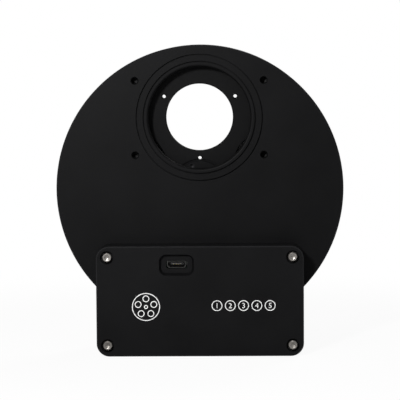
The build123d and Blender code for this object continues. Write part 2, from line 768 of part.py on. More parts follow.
with BuildPart() as board_standoffs:
    with BuildSketch(at_depth(board_back)):
        with Locations(*board_spots):
            RegularPolygon(standoff_flats / sqrt(3), 6)
            Circle(m2_shank + fit, mode=Mode.SUBTRACT)
    extrude(amount=board_back - box_floor)
keep(board_standoffs.part, "board_standoffs")

board_screw_length = box_floor - board_front + fit
board_screws = screws(
    board_spots, board_front, m2_low_head, m2_low_height, m2_shank, board_screw_length, m2_low_key
)
keep(board_screws, "board_screws")

with BuildPart() as board_chips:
    for left, bottom, width, height, thickness in board_chip_list:
        with BuildSketch(at_depth(board_front)):
            with Locations((board_left + left, board_bottom + bottom)):
                Rectangle(width, height)
        extrude(amount=thickness)
keep(board_chips.part, "board_chips")

with BuildPart() as board_capacitors:
    with BuildSketch(at_depth(board_front)):
        with Locations((board_left + capacitor_place[0], board_bottom + capacitor_place[1])):
            with GridLocations(0, capacitor_pitch, 1, 2):
                Circle(capacitor_radius)
    extrude(amount=capacitor_height)
    fillet(board_capacitors.faces().group_by(Axis.Y)[0].edges(), capacitor_edge)
keep(board_capacitors.part, "board_capacitors")


# ---- USB socket, standing on the board and reaching the lid's window -----------------------------
def usb_outline(width, height, cut):
    """Micro-B outline: square top corners and chamfered lower ones."""
    top = height / 2
    side = width / 2
    left = [(-side, top), (-side, cut - top), (cut - side, -top)]
    right = [(side - cut, -top), (side, cut - top), (side, top)]
    Polygon(*left, *right, align=None)


usb_front = board_front - usb_length
usb_inside = (usb_size[0] - 2 * usb_sheet, usb_size[1] - 2 * usb_sheet)
with BuildPart() as usb_shell:
    with BuildSketch(at_depth(board_front)):
        with Locations((usb_x, usb_z)):
            usb_outline(*usb_size, usb_lower_chamfer)
    extrude(amount=usb_length)
    with BuildSketch(at_depth(usb_front + usb_sheet)):
        with Locations((usb_x, usb_z)):
            usb_outline(usb_size[0] + usb_flare, usb_size[1] + usb_flare, usb_lower_chamfer)
    extrude(amount=usb_sheet)
    with BuildSketch(at_depth(board_front)):
        with Locations((usb_x, usb_z)):
            usb_outline(*usb_inside, usb_lower_chamfer)
    extrude(amount=usb_length, mode=Mode.SUBTRACT)
keep(usb_shell.part, "usb_shell")

tongue_z = usb_z + usb_tongue_lift
tongue_root = board_front - usb_base_depth
tongue_length = usb_length - usb_base_depth - usb_tongue_sunk
with BuildPart() as usb_insulator:
    with BuildSketch(at_depth(board_front)):
        with Locations((usb_x, usb_z)):
            usb_outline(usb_inside[0] - fit, usb_inside[1] - fit, usb_lower_chamfer)
    extrude(amount=usb_base_depth)
    with BuildSketch(at_depth(tongue_root)):
        with Locations((usb_x, tongue_z)):
            Rectangle(*usb_tongue)
    extrude(amount=tongue_length)
keep(usb_insulator.part, "usb_insulator")

with BuildPart() as usb_contacts:
    with BuildSketch(at_depth(tongue_root)):
        with Locations((usb_x, tongue_z - (usb_tongue[1] + usb_contact[1]) / 2)):
            with GridLocations(usb_contact_pitch, 0, usb_contact_count, 1):
                Rectangle(*usb_contact)
    extrude(amount=tongue_length - usb_contact_setback)
keep(usb_contacts.part, "usb_contacts")

# ---- Hall sensor against the partition, wired to the back of the board ---------------------------
with BuildPart() as hall_sensor:
    with BuildSketch(at_depth(box_floor)):
        with Locations((0, hall_z)):
            Rectangle(hall_size[0], hall_size[2])
    extrude(amount=hall_size[1])
keep(hall_sensor.part, "hall_sensor")

with BuildPart() as hall_leads:
    with BuildSketch(at_depth(box_floor - hall_size[1])):
        with Locations((0, hall_z)):
            with GridLocations(hall_lead_pitch, 0, 3, 1):
                Rectangle(hall_lead, hall_lead)
    extrude(amount=box_floor - hall_size[1] - board_back)
keep(hall_leads.part, "hall_leads")

print(f"drum radius {drum_radius:.2f}, lid face {lid_front:.2f}, pinion at {pinion_x:.3f}, {pinion_z:.3f}")
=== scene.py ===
"""Looks of a motorised optical filter wheel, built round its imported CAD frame.

Every length is in metres. The origin is on the optical axis in the drum's front face, +Y runs to the
back, +Z is up. "Depth" is the distance behind the front face, so it is Y.
"""

import json
import logging
import math
from dataclasses import dataclass
from enum import Enum
from typing import Callable, Iterable, Optional, Sequence

import bmesh
import bpy
from mathutils import Matrix, Vector

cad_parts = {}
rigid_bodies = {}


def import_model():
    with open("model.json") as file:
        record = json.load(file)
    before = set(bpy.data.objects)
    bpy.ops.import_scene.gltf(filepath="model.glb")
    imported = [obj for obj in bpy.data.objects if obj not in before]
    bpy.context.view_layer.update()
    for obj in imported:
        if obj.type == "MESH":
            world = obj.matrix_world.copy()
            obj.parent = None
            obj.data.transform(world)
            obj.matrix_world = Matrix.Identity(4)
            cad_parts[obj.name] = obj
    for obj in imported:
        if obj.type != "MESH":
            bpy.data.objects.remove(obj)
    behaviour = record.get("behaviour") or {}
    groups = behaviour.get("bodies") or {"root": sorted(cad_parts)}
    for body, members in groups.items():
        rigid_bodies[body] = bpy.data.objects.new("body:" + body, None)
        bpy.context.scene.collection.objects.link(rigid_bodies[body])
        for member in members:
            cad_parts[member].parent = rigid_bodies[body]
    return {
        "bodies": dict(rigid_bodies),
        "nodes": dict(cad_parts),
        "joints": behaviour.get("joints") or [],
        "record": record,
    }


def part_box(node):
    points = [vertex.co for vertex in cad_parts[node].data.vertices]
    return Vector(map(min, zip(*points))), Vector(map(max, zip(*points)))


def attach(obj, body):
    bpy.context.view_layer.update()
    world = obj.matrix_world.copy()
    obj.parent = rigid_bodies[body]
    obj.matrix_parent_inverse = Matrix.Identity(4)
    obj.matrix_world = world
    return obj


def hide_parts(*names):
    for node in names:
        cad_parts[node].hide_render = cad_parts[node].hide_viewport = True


Point2 = tuple[float, float]
Spot = tuple[float, float]
Wave = Callable[[float, float, float], float]

LOG = logging.getLogger("filter_wheel")
MM = 0.001
SMOOTH_ANGLE = math.radians(32)
ROUND_SEGMENTS = 192
HOLE_SEGMENTS = 40
KEY_DEPTH = 0.72  # of a hexagon socket, as a share of the head
KEY_LEAD = 1.06  # its mouth's chamfer, as a share of the hexagon's radius
KEY_DRILL = 0.84  # the drilled cone at its end, as a share of the same


# ---- Layout read from the frame ------------------------------------------------------------------
def extent(node: str) -> tuple[Vector, Vector]:
    """Lowest and highest corner of a CAD node."""
    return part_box(node)


def joint_place(frame: dict, name: str) -> Vector:
    """Place of a joint's axis.

    Args:
        name: the joint's name.

    Returns:
        A point on the axis.
    """
    joint = next(j for j in frame["joints"] if j["name"] == name)
    return Vector(joint["pos_m"])


@dataclass(frozen=True)
class Layout:
    """Places and sizes that several sub-assemblies share, taken from the CAD frame."""

    wheel: Spot
    pinion: Spot
    drum_radius: float
    drum_front: float
    body_back: float
    cover_back: float
    lid_front: float
    lid_back: float
    box_half_width: float
    box_top: float
    box_bottom: float
    carousel_front: float
    carousel_back: float
    hub_back: float

    @classmethod
    def from_frame(cls, frame: dict) -> "Layout":
        """Measure the CAD nodes.


        Returns:
            The shared layout.
        """
        wheel = joint_place(frame, "carousel_spin")
        pinion = joint_place(frame, "pinion_spin")
        cover_low, cover_high = extent("rear_cover")
        lid_low, lid_high = extent("electronics_lid")
        carousel_low, carousel_high = extent("carousel")
        _, race_high = extent("bearing_outer_race")
        return cls(
            wheel=(wheel.x, wheel.z),
            pinion=(pinion.x, pinion.z),
            drum_radius=cover_high.z - wheel.z,
            drum_front=0.0,
            body_back=cover_low.y,
            cover_back=cover_high.y,
            lid_front=lid_low.y,
            lid_back=lid_high.y,
            box_half_width=lid_high.x,
            box_top=lid_high.z,
            box_bottom=lid_low.z,
            carousel_front=carousel_low.y,
            carousel_back=race_high.y,
            hub_back=carousel_high.y,
        )

    @property
    def box_middle(self) -> float:
        """Height of the middle of the electronics box."""
        return (self.box_top + self.box_bottom) / 2

    @property
    def box_height(self) -> float:
        """Height of the electronics box."""
        return self.box_top - self.box_bottom


# ---- Shader trees --------------------------------------------------------------------------------
class ShaderTree:
    """A material's node tree with short ways to add nodes and links."""

    def __init__(self, name: str) -> None:
        """Start an empty material of that name."""
        self.material = bpy.data.materials.new(name)
        self.material.use_nodes = True
        self.nodes = self.material.node_tree.nodes
        self.links = self.material.node_tree.links
        self.nodes.clear()
        self.output = self.nodes.new("ShaderNodeOutputMaterial")
        self.coordinates = self.nodes.new("ShaderNodeTexCoord")

    def add(self, kind: str, **values: object) -> bpy.types.Node:
        """Add a node and set its properties."""
        node = self.nodes.new(kind)
        for key, value in values.items():
            setattr(node, key, value)
        return node

    def link(self, source: bpy.types.NodeSocket, target: bpy.types.NodeSocket) -> None:
        """Join two sockets."""
        self.links.new(source, target)

    def noise(self, scale: float, detail: float = 3.0,
              stretch: Sequence[float] = (1, 1, 1)) -> bpy.types.NodeSocket:
        """Noise on object coordinates.

        Args:
            scale: cycles per metre.
            detail: octaves.
            stretch: factor on each axis.

        Returns:
            The noise's value, 0 to 1.
        """
        mapping = self.add("ShaderNodeMapping")
        mapping.inputs["Scale"].default_value = stretch
        self.link(self.coordinates.outputs["Object"], mapping.inputs["Vector"])
        texture = self.add("ShaderNodeTexNoise")
        texture.inputs["Scale"].default_value = scale
        texture.inputs["Detail"].default_value = detail
        self.link(mapping.outputs["Vector"], texture.inputs["Vector"])
        return texture.outputs["Fac"]

    def radius_lines(self, centre: Spot, scale: float) -> bpy.types.NodeSocket:
        """Fine turning marks: noise that changes only with the distance from an axis along Y.

        Args:
            centre: where the axis crosses the XZ plane.
            scale: cycles per metre of radius.

        Returns:
            The marks' value, 0 to 1.
        """
        mapping = self.add("ShaderNodeMapping")
        mapping.inputs["Location"].default_value = (-centre[0], 0, -centre[1])
        self.link(self.coordinates.outputs["Object"], mapping.inputs["Vector"])
        flat = self.add("ShaderNodeVectorMath", operation="MULTIPLY")
        flat.inputs[1].default_value = (1, 0, 1)
        self.link(mapping.outputs["Vector"], flat.inputs[0])
        length = self.add("ShaderNodeVectorMath", operation="LENGTH")
        self.link(flat.outputs["Vector"], length.inputs[0])
        split = self.add("ShaderNodeSeparateXYZ")
        self.link(mapping.outputs["Vector"], split.inputs["Vector"])
        join = self.add("ShaderNodeCombineXYZ")
        self.link(length.outputs["Value"], join.inputs["X"])
        self.link(split.outputs["Y"], join.inputs["Y"])
        texture = self.add("ShaderNodeTexNoise")
        texture.inputs["Scale"].default_value = scale
        texture.inputs["Detail"].default_value = 2.0
        self.link(join.outputs["Vector"], texture.inputs["Vector"])
        return texture.outputs["Fac"]

    def spread(self, value: bpy.types.NodeSocket, low: float, high: float) -> bpy.types.NodeSocket:
        """Map a texture's middle range to low..high.

        Args:
            value: a texture's value.
            low: result at 0.3.
            high: result at 0.7.

        Returns:
            The mapped value.
        """
        ramp = self.add("ShaderNodeMapRange")
        ramp.inputs["From Min"].default_value = 0.3
        ramp.inputs["From Max"].default_value = 0.7
        ramp.inputs["To Min"].default_value = low
        ramp.inputs["To Max"].default_value = high
        self.link(value, ramp.inputs["Value"])
        return ramp.outputs["Result"]

    def tint(self, value: bpy.types.NodeSocket, dark: Sequence[float],
             light: Sequence[float]) -> bpy.types.NodeSocket:
        """Blend two colours by a texture.

        Args:
            value: a texture's value.
            dark: colour where the value is low.
            light: colour where the value is high.

        Returns:
            The colour.
        """
        ramp = self.add("ShaderNodeValToRGB")
        ramp.color_ramp.elements[0].position = 0.3
        ramp.color_ramp.elements[1].position = 0.7
        ramp.color_ramp.elements[0].color = (*dark, 1)
        ramp.color_ramp.elements[1].color = (*light, 1)
        self.link(value, ramp.inputs["Fac"])
        return ramp.outputs["Color"]

    def bump(self, value: bpy.types.NodeSocket, height: float, strength: float,
             under: Optional[bpy.types.NodeSocket] = None) -> bpy.types.NodeSocket:
        """Bump from a texture.

        Args:
            value: a texture's value.
            height: depth of the texture in metres.
            strength: 0 to 1.
            under: a bump that this one adds to.

        Returns:
            The normal.
        """
        node = self.add("ShaderNodeBump")
        node.inputs["Distance"].default_value = height
        node.inputs["Strength"].default_value = strength
        self.link(value, node.inputs["Height"])
        if under is not None:
            self.link(under, node.inputs["Normal"])
        return node.outputs["Normal"]

    def scaled(self, colour: bpy.types.NodeSocket, mask: bpy.types.NodeSocket,
               gain: float) -> bpy.types.NodeSocket:
        """Colour made lighter or darker by a gain where a mask is 1."""
        factor = self.add("ShaderNodeMath", operation="MULTIPLY_ADD")
        factor.inputs[1].default_value = gain - 1
        factor.inputs[2].default_value = 1.0
        self.link(mask, factor.inputs[0])
        node = self.add("ShaderNodeVectorMath", operation="SCALE")
        self.link(colour, node.inputs[0])
        self.link(factor.outputs["Value"], node.inputs["Scale"])
        return node.outputs["Vector"]

    def surface(self, metallic: float = 0.0, specular: float = 0.5, coat: float = 0.0) -> bpy.types.Node:
        """Principled shader joined to the output."""
        shader = self.add("ShaderNodeBsdfPrincipled")
        shader.inputs["Metallic"].default_value = metallic
        shader.inputs["Specular IOR Level"].default_value = specular
        shader.inputs["Coat Weight"].default_value = coat
        self.link(shader.outputs["BSDF"], self.output.inputs["Surface"])
        return shader


def shade(colour: Sequence[float], factor: float) -> tuple[float, float, float]:
    """A colour made lighter or darker by a factor."""
    return tuple(min(1.0, c * factor) for c in colour)


class Turning(Enum):
    """Which axis a turned finish is centred on."""

    PORT = "port"
    WHEEL = "wheel"
    NONE = "none"


@dataclass(frozen=True)
class Anodising:
    """Black anodised aluminium, bead-blasted or turned, with painted highlight on chamfers and painted shade
    in the port's thread where asked.
    """

    name: str
    colour: tuple[float, float, float]
    roughness: float = 0.45
    grain: float = 4200.0
    grain_height: float = 0.000012
    turning: Turning = Turning.NONE
    specular: float = 0.044
    # Gain of a painted highlight on the 45-degree chamfers.
    chamfer_highlight_gain: float = 1.0
    # Radius inside which painted shade darkens the port's thread, and that shade's gain.
    thread_shade_radius: float = 0.0
    thread_shade_gain: float = 0.25

    def chamfer_highlight_mask(self, tree: ShaderTree) -> bpy.types.NodeSocket:
        """Mask of the faces at 45 degrees to the front, where a painted highlight lightens the colour."""
        parts = tree.add("ShaderNodeSeparateXYZ")
        tree.link(tree.coordinates.outputs["Normal"], parts.inputs["Vector"])
        facing = tree.add("ShaderNodeMath", operation="ABSOLUTE")
        tree.link(parts.outputs["Y"], facing.inputs[0])
        mask = tree.add("ShaderNodeMath", operation="COMPARE")
        mask.inputs[1].default_value = math.sqrt(0.5)
        mask.inputs[2].default_value = 0.1
        tree.link(facing.outputs["Value"], mask.inputs[0])
        return mask.outputs["Value"]

    def thread(self, tree: ShaderTree) -> bpy.types.NodeSocket:
        """Mask of all that lies nearer the axis than the thread radius, where painted shade darkens the
        colour.
        """
        flat = tree.add("ShaderNodeVectorMath", operation="MULTIPLY")
        flat.inputs[1].default_value = (1, 0, 1)
        tree.link(tree.coordinates.outputs["Object"], flat.inputs[0])
        radius = tree.add("ShaderNodeVectorMath", operation="LENGTH")
        tree.link(flat.outputs["Vector"], radius.inputs[0])
        mask = tree.add("ShaderNodeMath", operation="LESS_THAN")
        mask.inputs[1].default_value = self.thread_shade_radius
        tree.link(radius.outputs["Value"], mask.inputs[0])
        return mask.outputs["Value"]

    def material(self, layout: Layout) -> bpy.types.Material:
        """Build the material.

        Args:
            layout: gives the axis of turning marks.

        Returns:
            The material.
        """
        tree = ShaderTree(self.name)
        mottle = tree.noise(55.0, 4.0)
        shader = tree.surface(metallic=0.0, specular=self.specular)
        colour = tree.tint(mottle, shade(self.colour, 0.86), shade(self.colour, 1.16))
        # Painted highlight: the colour is made lighter on the 45-degree chamfers, as if they caught the
        # lamps.
        if self.chamfer_highlight_gain != 1.0:
            colour = tree.scaled(colour, self.chamfer_highlight_mask(tree), self.chamfer_highlight_gain)
        # Painted shade: the colour inside the thread radius is darkened, as if the thread lay in shade.
        if self.thread_shade_radius:
            colour = tree.scaled(colour, self.thread(tree), self.thread_shade_gain)
        tree.link(colour, shader.inputs["Base Color"])
        blast = tree.noise(self.grain, 3.0)
        normal = tree.bump(blast, self.grain_height, 0.5)
        patch = tree.noise(900.0, 2.0)
        rough = tree.add("ShaderNodeMath", operation="ADD")
        tree.link(tree.spread(patch, self.roughness - 0.05, self.roughness + 0.05), rough.inputs[0])
        tree.link(tree.spread(mottle, -0.02, 0.02), rough.inputs[1])
        tree.link(rough.outputs["Value"], shader.inputs["Roughness"])
        if self.turning is not Turning.NONE:
            centre = layout.wheel if self.turning is Turning.WHEEL else (0.0, 0.0)
            marks = tree.radius_lines(centre, 5200.0)
            normal = tree.bump(marks, 0.000008, 0.45, under=normal)
        tree.link(normal, shader.inputs["Normal"])
        return tree.material


@dataclass(frozen=True)
class Metal:
    """Bare or plated metal with fine scratches."""

    name: str
    colour: tuple[float, float, float]
    roughness: float = 0.28
    scratch: float = 3000.0
    stretch: tuple[float, float, float] = (1, 6, 1)

    def material(self, layout: Layout) -> bpy.types.Material:
        """Build the material.

        Args:
            layout: unused, so that all finishes are made alike.

        Returns:
            The material.
        """
        tree = ShaderTree(self.name)
        shader = tree.surface(metallic=1.0)
        wear = tree.noise(420.0, 3.0)
        tone = tree.tint(wear, shade(self.colour, 0.86), shade(self.colour, 1.06))
        tree.link(tone, shader.inputs["Base Color"])
        lines = tree.noise(self.scratch, 2.0, self.stretch)
        gloss = tree.spread(lines, self.roughness - 0.06, self.roughness + 0.09)
        tree.link(gloss, shader.inputs["Roughness"])
        tree.link(tree.bump(lines, 0.000004, 0.35), shader.inputs["Normal"])
        return tree.material


@dataclass(frozen=True)
class Moulding:
    """Moulded plastic, soft insulation, printed ink or solder mask."""

    name: str
    colour: tuple[float, float, float]
    roughness: float = 0.5
    grain: float = 2600.0
    grain_height: float = 0.00001
    contrast: float = 0.1
    coat: float = 0.0

    def material(self, layout: Layout) -> bpy.types.Material:
        """Build the material.

        Args:
            layout: unused, so that all finishes are made alike.

        Returns:
            The material.
        """
        tree = ShaderTree(self.name)
        shader = tree.surface(coat=self.coat)
        cloud = tree.noise(260.0, 3.0)
        dark = shade(self.colour, 1 - self.contrast)
        light = shade(self.colour, 1 + self.contrast)
        tree.link(tree.tint(cloud, dark, light), shader.inputs["Base Color"])
        fine = tree.noise(self.grain, 2.0)
        tree.link(tree.spread(fine, self.roughness - 0.05, self.roughness + 0.05), shader.inputs["Roughness"])
        tree.link(tree.bump(fine, self.grain_height, 0.4), shader.inputs["Normal"])
        return tree.material


BLACK = (0.0043, 0.0043, 0.0046)
FINISHES = {
    # Painted highlight on the chamfers: their colour is multiplied by 2.6.
    "black_anodised": Anodising("blasted_black_anodising", BLACK, chamfer_highlight_gain=2.6),
    # The port pieces get painted shade inside the thread radius.
    "port_anodised": Anodising("turned_black_anodising", shade(BLACK, 0.95), 0.45, turning=Turning.PORT,
                               thread_shade_radius=20.95 * MM),
    "carousel_anodised": Anodising("matt_black_anodising", shade(BLACK, 0.85), 0.5, turning=Turning.WHEEL),
    # Painted shade: this stainless is much darker than bare steel, standing in for the dark surroundings that
    # the screws would reflect.
    "stainless_screws": Metal("turned_stainless_steel", (0.215, 0.203, 0.188), 0.28),
    "black_oxide_steel": Metal("black_oxide_steel", (0.010, 0.010, 0.0105), 0.45),
    "bearing_steel": Metal("ground_bearing_steel", (0.62, 0.63, 0.65), 0.16),
    "pinion_brass": Metal("machined_brass", (0.74, 0.54, 0.24), 0.26),
    "plated_steel": Metal("zinc_plated_steel", (0.60, 0.61, 0.62), 0.34),
    # Painted shade: the shell's nickel is made nearly black because it sits deep in the lid's window, in
    # shade.
    "nickel_shell": Metal("dark_nickel_plated_sheet", (0.040, 0.040, 0.039), 0.35),
    "gold_contacts": Metal("gold_plating", (0.88, 0.64, 0.26), 0.22),
    "board_green": Moulding("green_solder_mask", (0.012, 0.09, 0.035), 0.28, contrast=0.18, coat=0.4),
    "black_plastic": Moulding("black_moulding", (0.02, 0.02, 0.021), 0.46),
    "white_plastic": Moulding("natural_nylon", (0.72, 0.68, 0.58), 0.5),
    "blue_plastic": Moulding("blue_moulding", (0.02, 0.08, 0.30), 0.42),
    "capacitor_can": Metal("drawn_aluminium", (0.76, 0.77, 0.79), 0.3),
    "wire_sleeve": Moulding("red_wire_sleeve", (0.40, 0.02, 0.015), 0.45),
    "magnet_nickel": Metal("nickel_plated_magnet", (0.70, 0.69, 0.67), 0.18),
}
# Painted light: the lid is a 1.2 times lighter copy of the housing's black, with the same painted highlight
# on its chamfers.
LID_FINISH = Anodising("satin_black_anodising", shade(BLACK, 1.2), chamfer_highlight_gain=2.6)
INK = Moulding("white_marking", (0.80, 0.80, 0.79), 0.6, contrast=0.06)


class Wardrobe:
    """Makes each finish once and gives it to pieces and CAD nodes."""

    def __init__(self, layout: Layout) -> None:
        """Keep the layout that turned finishes need."""
        self.layout = layout
        self.made: dict[str, bpy.types.Material] = {}

    def finish(self, slot: str) -> bpy.types.Material:
        """The material of one of the record's slots."""
        if slot not in self.made:
            self.made[slot] = FINISHES[slot].material(self.layout)
        return self.made[slot]

    def dress_nodes(self, frame: dict) -> None:
        """Give every CAD node the finish of its slot.
        """
        for part in frame["record"]["subparts"]:
            node = frame["nodes"][part["node"]]
            node.data.materials.clear()
            node.data.materials.append(self.finish(part["material_slot"]))


# ---- Meshes --------------------------------------------------------------------------------------
def new_object(name: str, mesh: bpy.types.Mesh) -> bpy.types.Object:
    """Link a mesh into the scene as an object at the origin."""
    thing = bpy.data.objects.new(name, mesh)
    bpy.context.scene.collection.objects.link(thing)
    return thing


def from_bmesh(name: str, shape: bmesh.types.BMesh) -> bpy.types.Object:
    """Turn a bmesh into an object with normals outwards, and free it."""
    bmesh.ops.remove_doubles(shape, verts=shape.verts, dist=1e-7)
    bmesh.ops.recalc_face_normals(shape, faces=shape.faces)
    mesh = bpy.data.meshes.new(name)
    shape.to_mesh(mesh)
    shape.free()
    return new_object(name, mesh)


def circle(centre: Spot, radius: float, segments: int = ROUND_SEGMENTS) -> list[Point2]:
    """Points of a circle in the XZ plane, anticlockwise from the right as seen from the front."""
    steps = (2 * math.pi * n / segments for n in range(segments))
    return [(centre[0] + radius * math.cos(a), centre[1] + radius * math.sin(a)) for a in steps]


def rounded(centre: Spot, width: float, height: float, radius: float, steps: int = 14) -> list[Point2]:
    """Points of a rectangle with round corners in the XZ plane.

    Args:
        centre: middle of the rectangle.
        width: along X.
        height: along Z.
        radius: of the corners.
        steps: segments in each corner.

    Returns:
        The outline, anticlockwise as seen from the front.
    """
    points = []
    corners = ((1, 1, 0), (-1, 1, 90), (-1, -1, 180), (1, -1, 270))
    for side, up, start in corners:
        middle_x = centre[0] + side * (width / 2 - radius)
        middle_z = centre[1] + up * (height / 2 - radius)
        for n in range(steps + 1):
            angle = math.radians(start + 90 * n / steps)
            points.append((middle_x + radius * math.cos(angle), middle_z + radius * math.sin(angle)))
    return points


def shrink(outline: Sequence[Point2], distance: float) -> list[Point2]:
    """Move an anticlockwise outline inwards along its corners' bisectors.

    Args:
        outline: the points.
        distance: how far.

    Returns:
        The smaller outline.
    """
    result = []
    count = len(outline)
    for n in range(count):
        before, here, after = (Vector(outline[(n + k) % count]) for k in (-1, 0, 1))
        first = (here - before).normalized()
        second = (after - here).normalized()
        normal = Vector((-(first.y + second.y), first.x + second.x)).normalized()
        across = max(0.3, normal.dot(Vector((-first.y, first.x))))
        moved = here + normal * (distance / across)
        result.append((moved.x, moved.y))
    return result


def prism(name: str, outline: Sequence[Point2], front: float, back: float,
          front_chamfer: float = 0.0, back_chamfer: float = 0.0,
          draft: float = 0.0) -> bpy.types.Object:
    """Closed solid of a flat outline between two depths.

    Args:
        name: the object's name.
        outline: points in the XZ plane, anticlockwise.
        front: depth of the front face.
        back: depth of the back face.
        front_chamfer: size of the front edge's chamfer.
        back_chamfer: size of the back edge's chamfer.
        draft: how far the sides lean in by the time they reach the back.

    Returns:
        The object.
    """
    layers = [(front, front_chamfer)]
    if front_chamfer:
        layers.append((front + front_chamfer, 0.0))
    if back_chamfer:
        layers.append((back - back_chamfer, 0.0))
    layers.append((back, back_chamfer + draft))
    shape = bmesh.new()
    rings = []
    for depth, inset in layers:
        points = shrink(outline, inset) if inset else outline
        rings.append([shape.verts.new((x, depth, z)) for x, z in points])
    count = len(outline)
    for near, far in zip(rings, rings[1:]):
        for n in range(count):
            m = (n + 1) % count
            shape.faces.new((near[n], near[m], far[m], far[n]))
    shape.faces.new(rings[0])
    shape.faces.new(rings[-1])
    return from_bmesh(name, shape)


def lathe(name: str, profile: Sequence[Point2], centre: Spot = (0.0, 0.0), segments: int = ROUND_SEGMENTS,
          wave: Optional[Wave] = None) -> bpy.types.Object:
    """Closed solid turned about an axis along Y.

    Args:
        name: the object's name.
        profile: closed loop of (radius, depth) points.
        centre: where the axis crosses the XZ plane.
        segments: steps round the axis.
        wave: gives the radius from (radius, depth, angle), for threads.

    Returns:
        The object.
    """
    shape = bmesh.new()
    columns = []
    for step in range(segments):
        angle = 2 * math.pi * step / segments
        column = []
        for radius, depth in profile:
            reach = wave(radius, depth, angle) if wave else radius
            place = (centre[0] + reach * math.cos(angle), depth, centre[1] + reach * math.sin(angle))
            column.append(shape.verts.new(place))
        columns.append(column)
    count = len(profile)
    for step in range(segments):
        here, there = columns[step], columns[(step + 1) % segments]
        for n in range(count):
            m = (n + 1) % count
            if profile[n][0] == 0 and profile[m][0] == 0:
                continue
            corners = [here[n], here[m], there[m], there[n]]
            if profile[m][0] == 0:
                corners = [here[n], here[m], there[n]]
            elif profile[n][0] == 0:
                corners = [here[n], here[m], there[m]]
            shape.faces.new(corners)
    return from_bmesh(name, shape)


def combine(base: bpy.types.Object, others: Iterable[bpy.types.Object], operation: str) -> bpy.types.Object:
    """Join or cut closed solids and keep the result in the first object.

    Args:
        base: the solid that is changed.
        others: the solids that are joined to it or cut from it, and then removed.
        operation: "UNION" or "DIFFERENCE".

    Returns:
        The changed base.
    """
    for other in others:
        modifier = base.modifiers.new("step", "BOOLEAN")
        modifier.operation = operation
        modifier.solver = "MANIFOLD"
        modifier.object = other
        bake(base)
        bpy.data.objects.remove(other)
    return base


def bake(thing: bpy.types.Object) -> bpy.types.Object:
    """Replace an object's mesh by its evaluated mesh and clear its modifiers."""
    graph = bpy.context.evaluated_depsgraph_get()
    mesh = bpy.data.meshes.new_from_object(thing.evaluated_get(graph))
    thing.modifiers.clear()
    old = thing.data
    thing.data = mesh
    mesh.name = old.name
    bpy.data.meshes.remove(old)
    return thing


def smooth(thing: bpy.types.Object) -> bpy.types.Object:
    """Smooth shading that keeps edges sharper than SMOOTH_ANGLE, weighted by the faces' areas."""
    mesh = thing.data
    mesh.polygons.foreach_set("use_smooth", [True] * len(mesh.polygons))
    mesh.set_sharp_from_angle(angle=SMOOTH_ANGLE)
    weigh = thing.modifiers.new("weighted", "WEIGHTED_NORMAL")
    weigh.keep_sharp = True
    weigh.weight = 100
    return bake(thing)


def ordered(shape: bmesh.types.BMesh) -> bmesh.types.BMesh:
    """Copy of a shape whose points and faces come in the same order in every run.

    Args:
        shape: the shape, which is freed.

    Returns:
        The copy.
    """
    points = sorted(shape.verts, key=lambda point: tuple(point.co))
    place = {point: n for n, point in enumerate(points)}
    loops = sorted([place[point] for point in face.verts] for face in shape.faces)
    copy = bmesh.new()
    made = [copy.verts.new(point.co) for point in points]
    for loop in loops:
        copy.faces.new([made[n] for n in loop])
    shape.free()
    return copy


def thread_wave(minor: float, major: float, pitch: float, front: float, back: float) -> Wave:
    """Radius of an internal thread as a function of depth and angle.

    Args:
        minor: radius of the crests.
        major: radius of the roots.
        pitch: of the thread.
        front: depth where the thread starts.
        back: depth where it ends.

    Returns:
        A wave for lathe().
    """

    def reach(radius: float, depth: float, angle: float) -> float:
        """The thread's radius there, or the plain radius away from the thread."""
        if abs(radius - minor) > 1e-7 or depth <= front or depth >= back:
            return radius
        turn = (depth / pitch + angle / (2 * math.pi)) % 1
        tooth = min(1.0, max(0.0, 1.35 - abs(turn * 2 - 1) * 2.1))
        fade = min(1.0, (depth - front) / (0.4 * pitch), (back - depth) / (0.4 * pitch))
        return minor + (major - minor) * tooth * max(0.0, fade)

    return reach


def thread_steps(radius: float, front: float, back: float, pitch: float, per_turn: int = 8) -> list[Point2]:
    """Profile points fine enough for a thread, from front to back."""
    count = max(2, round((back - front) / pitch * per_turn))
    return [(radius, front + (back - front) * n / count) for n in range(count + 1)]


def polar(centre: Spot, radius: float, degrees: float) -> Spot:
    """Point at an angle round a centre in the XZ plane."""
    turn = math.radians(degrees)
    return (centre[0] + radius * math.cos(turn), centre[1] + radius * math.sin(turn))


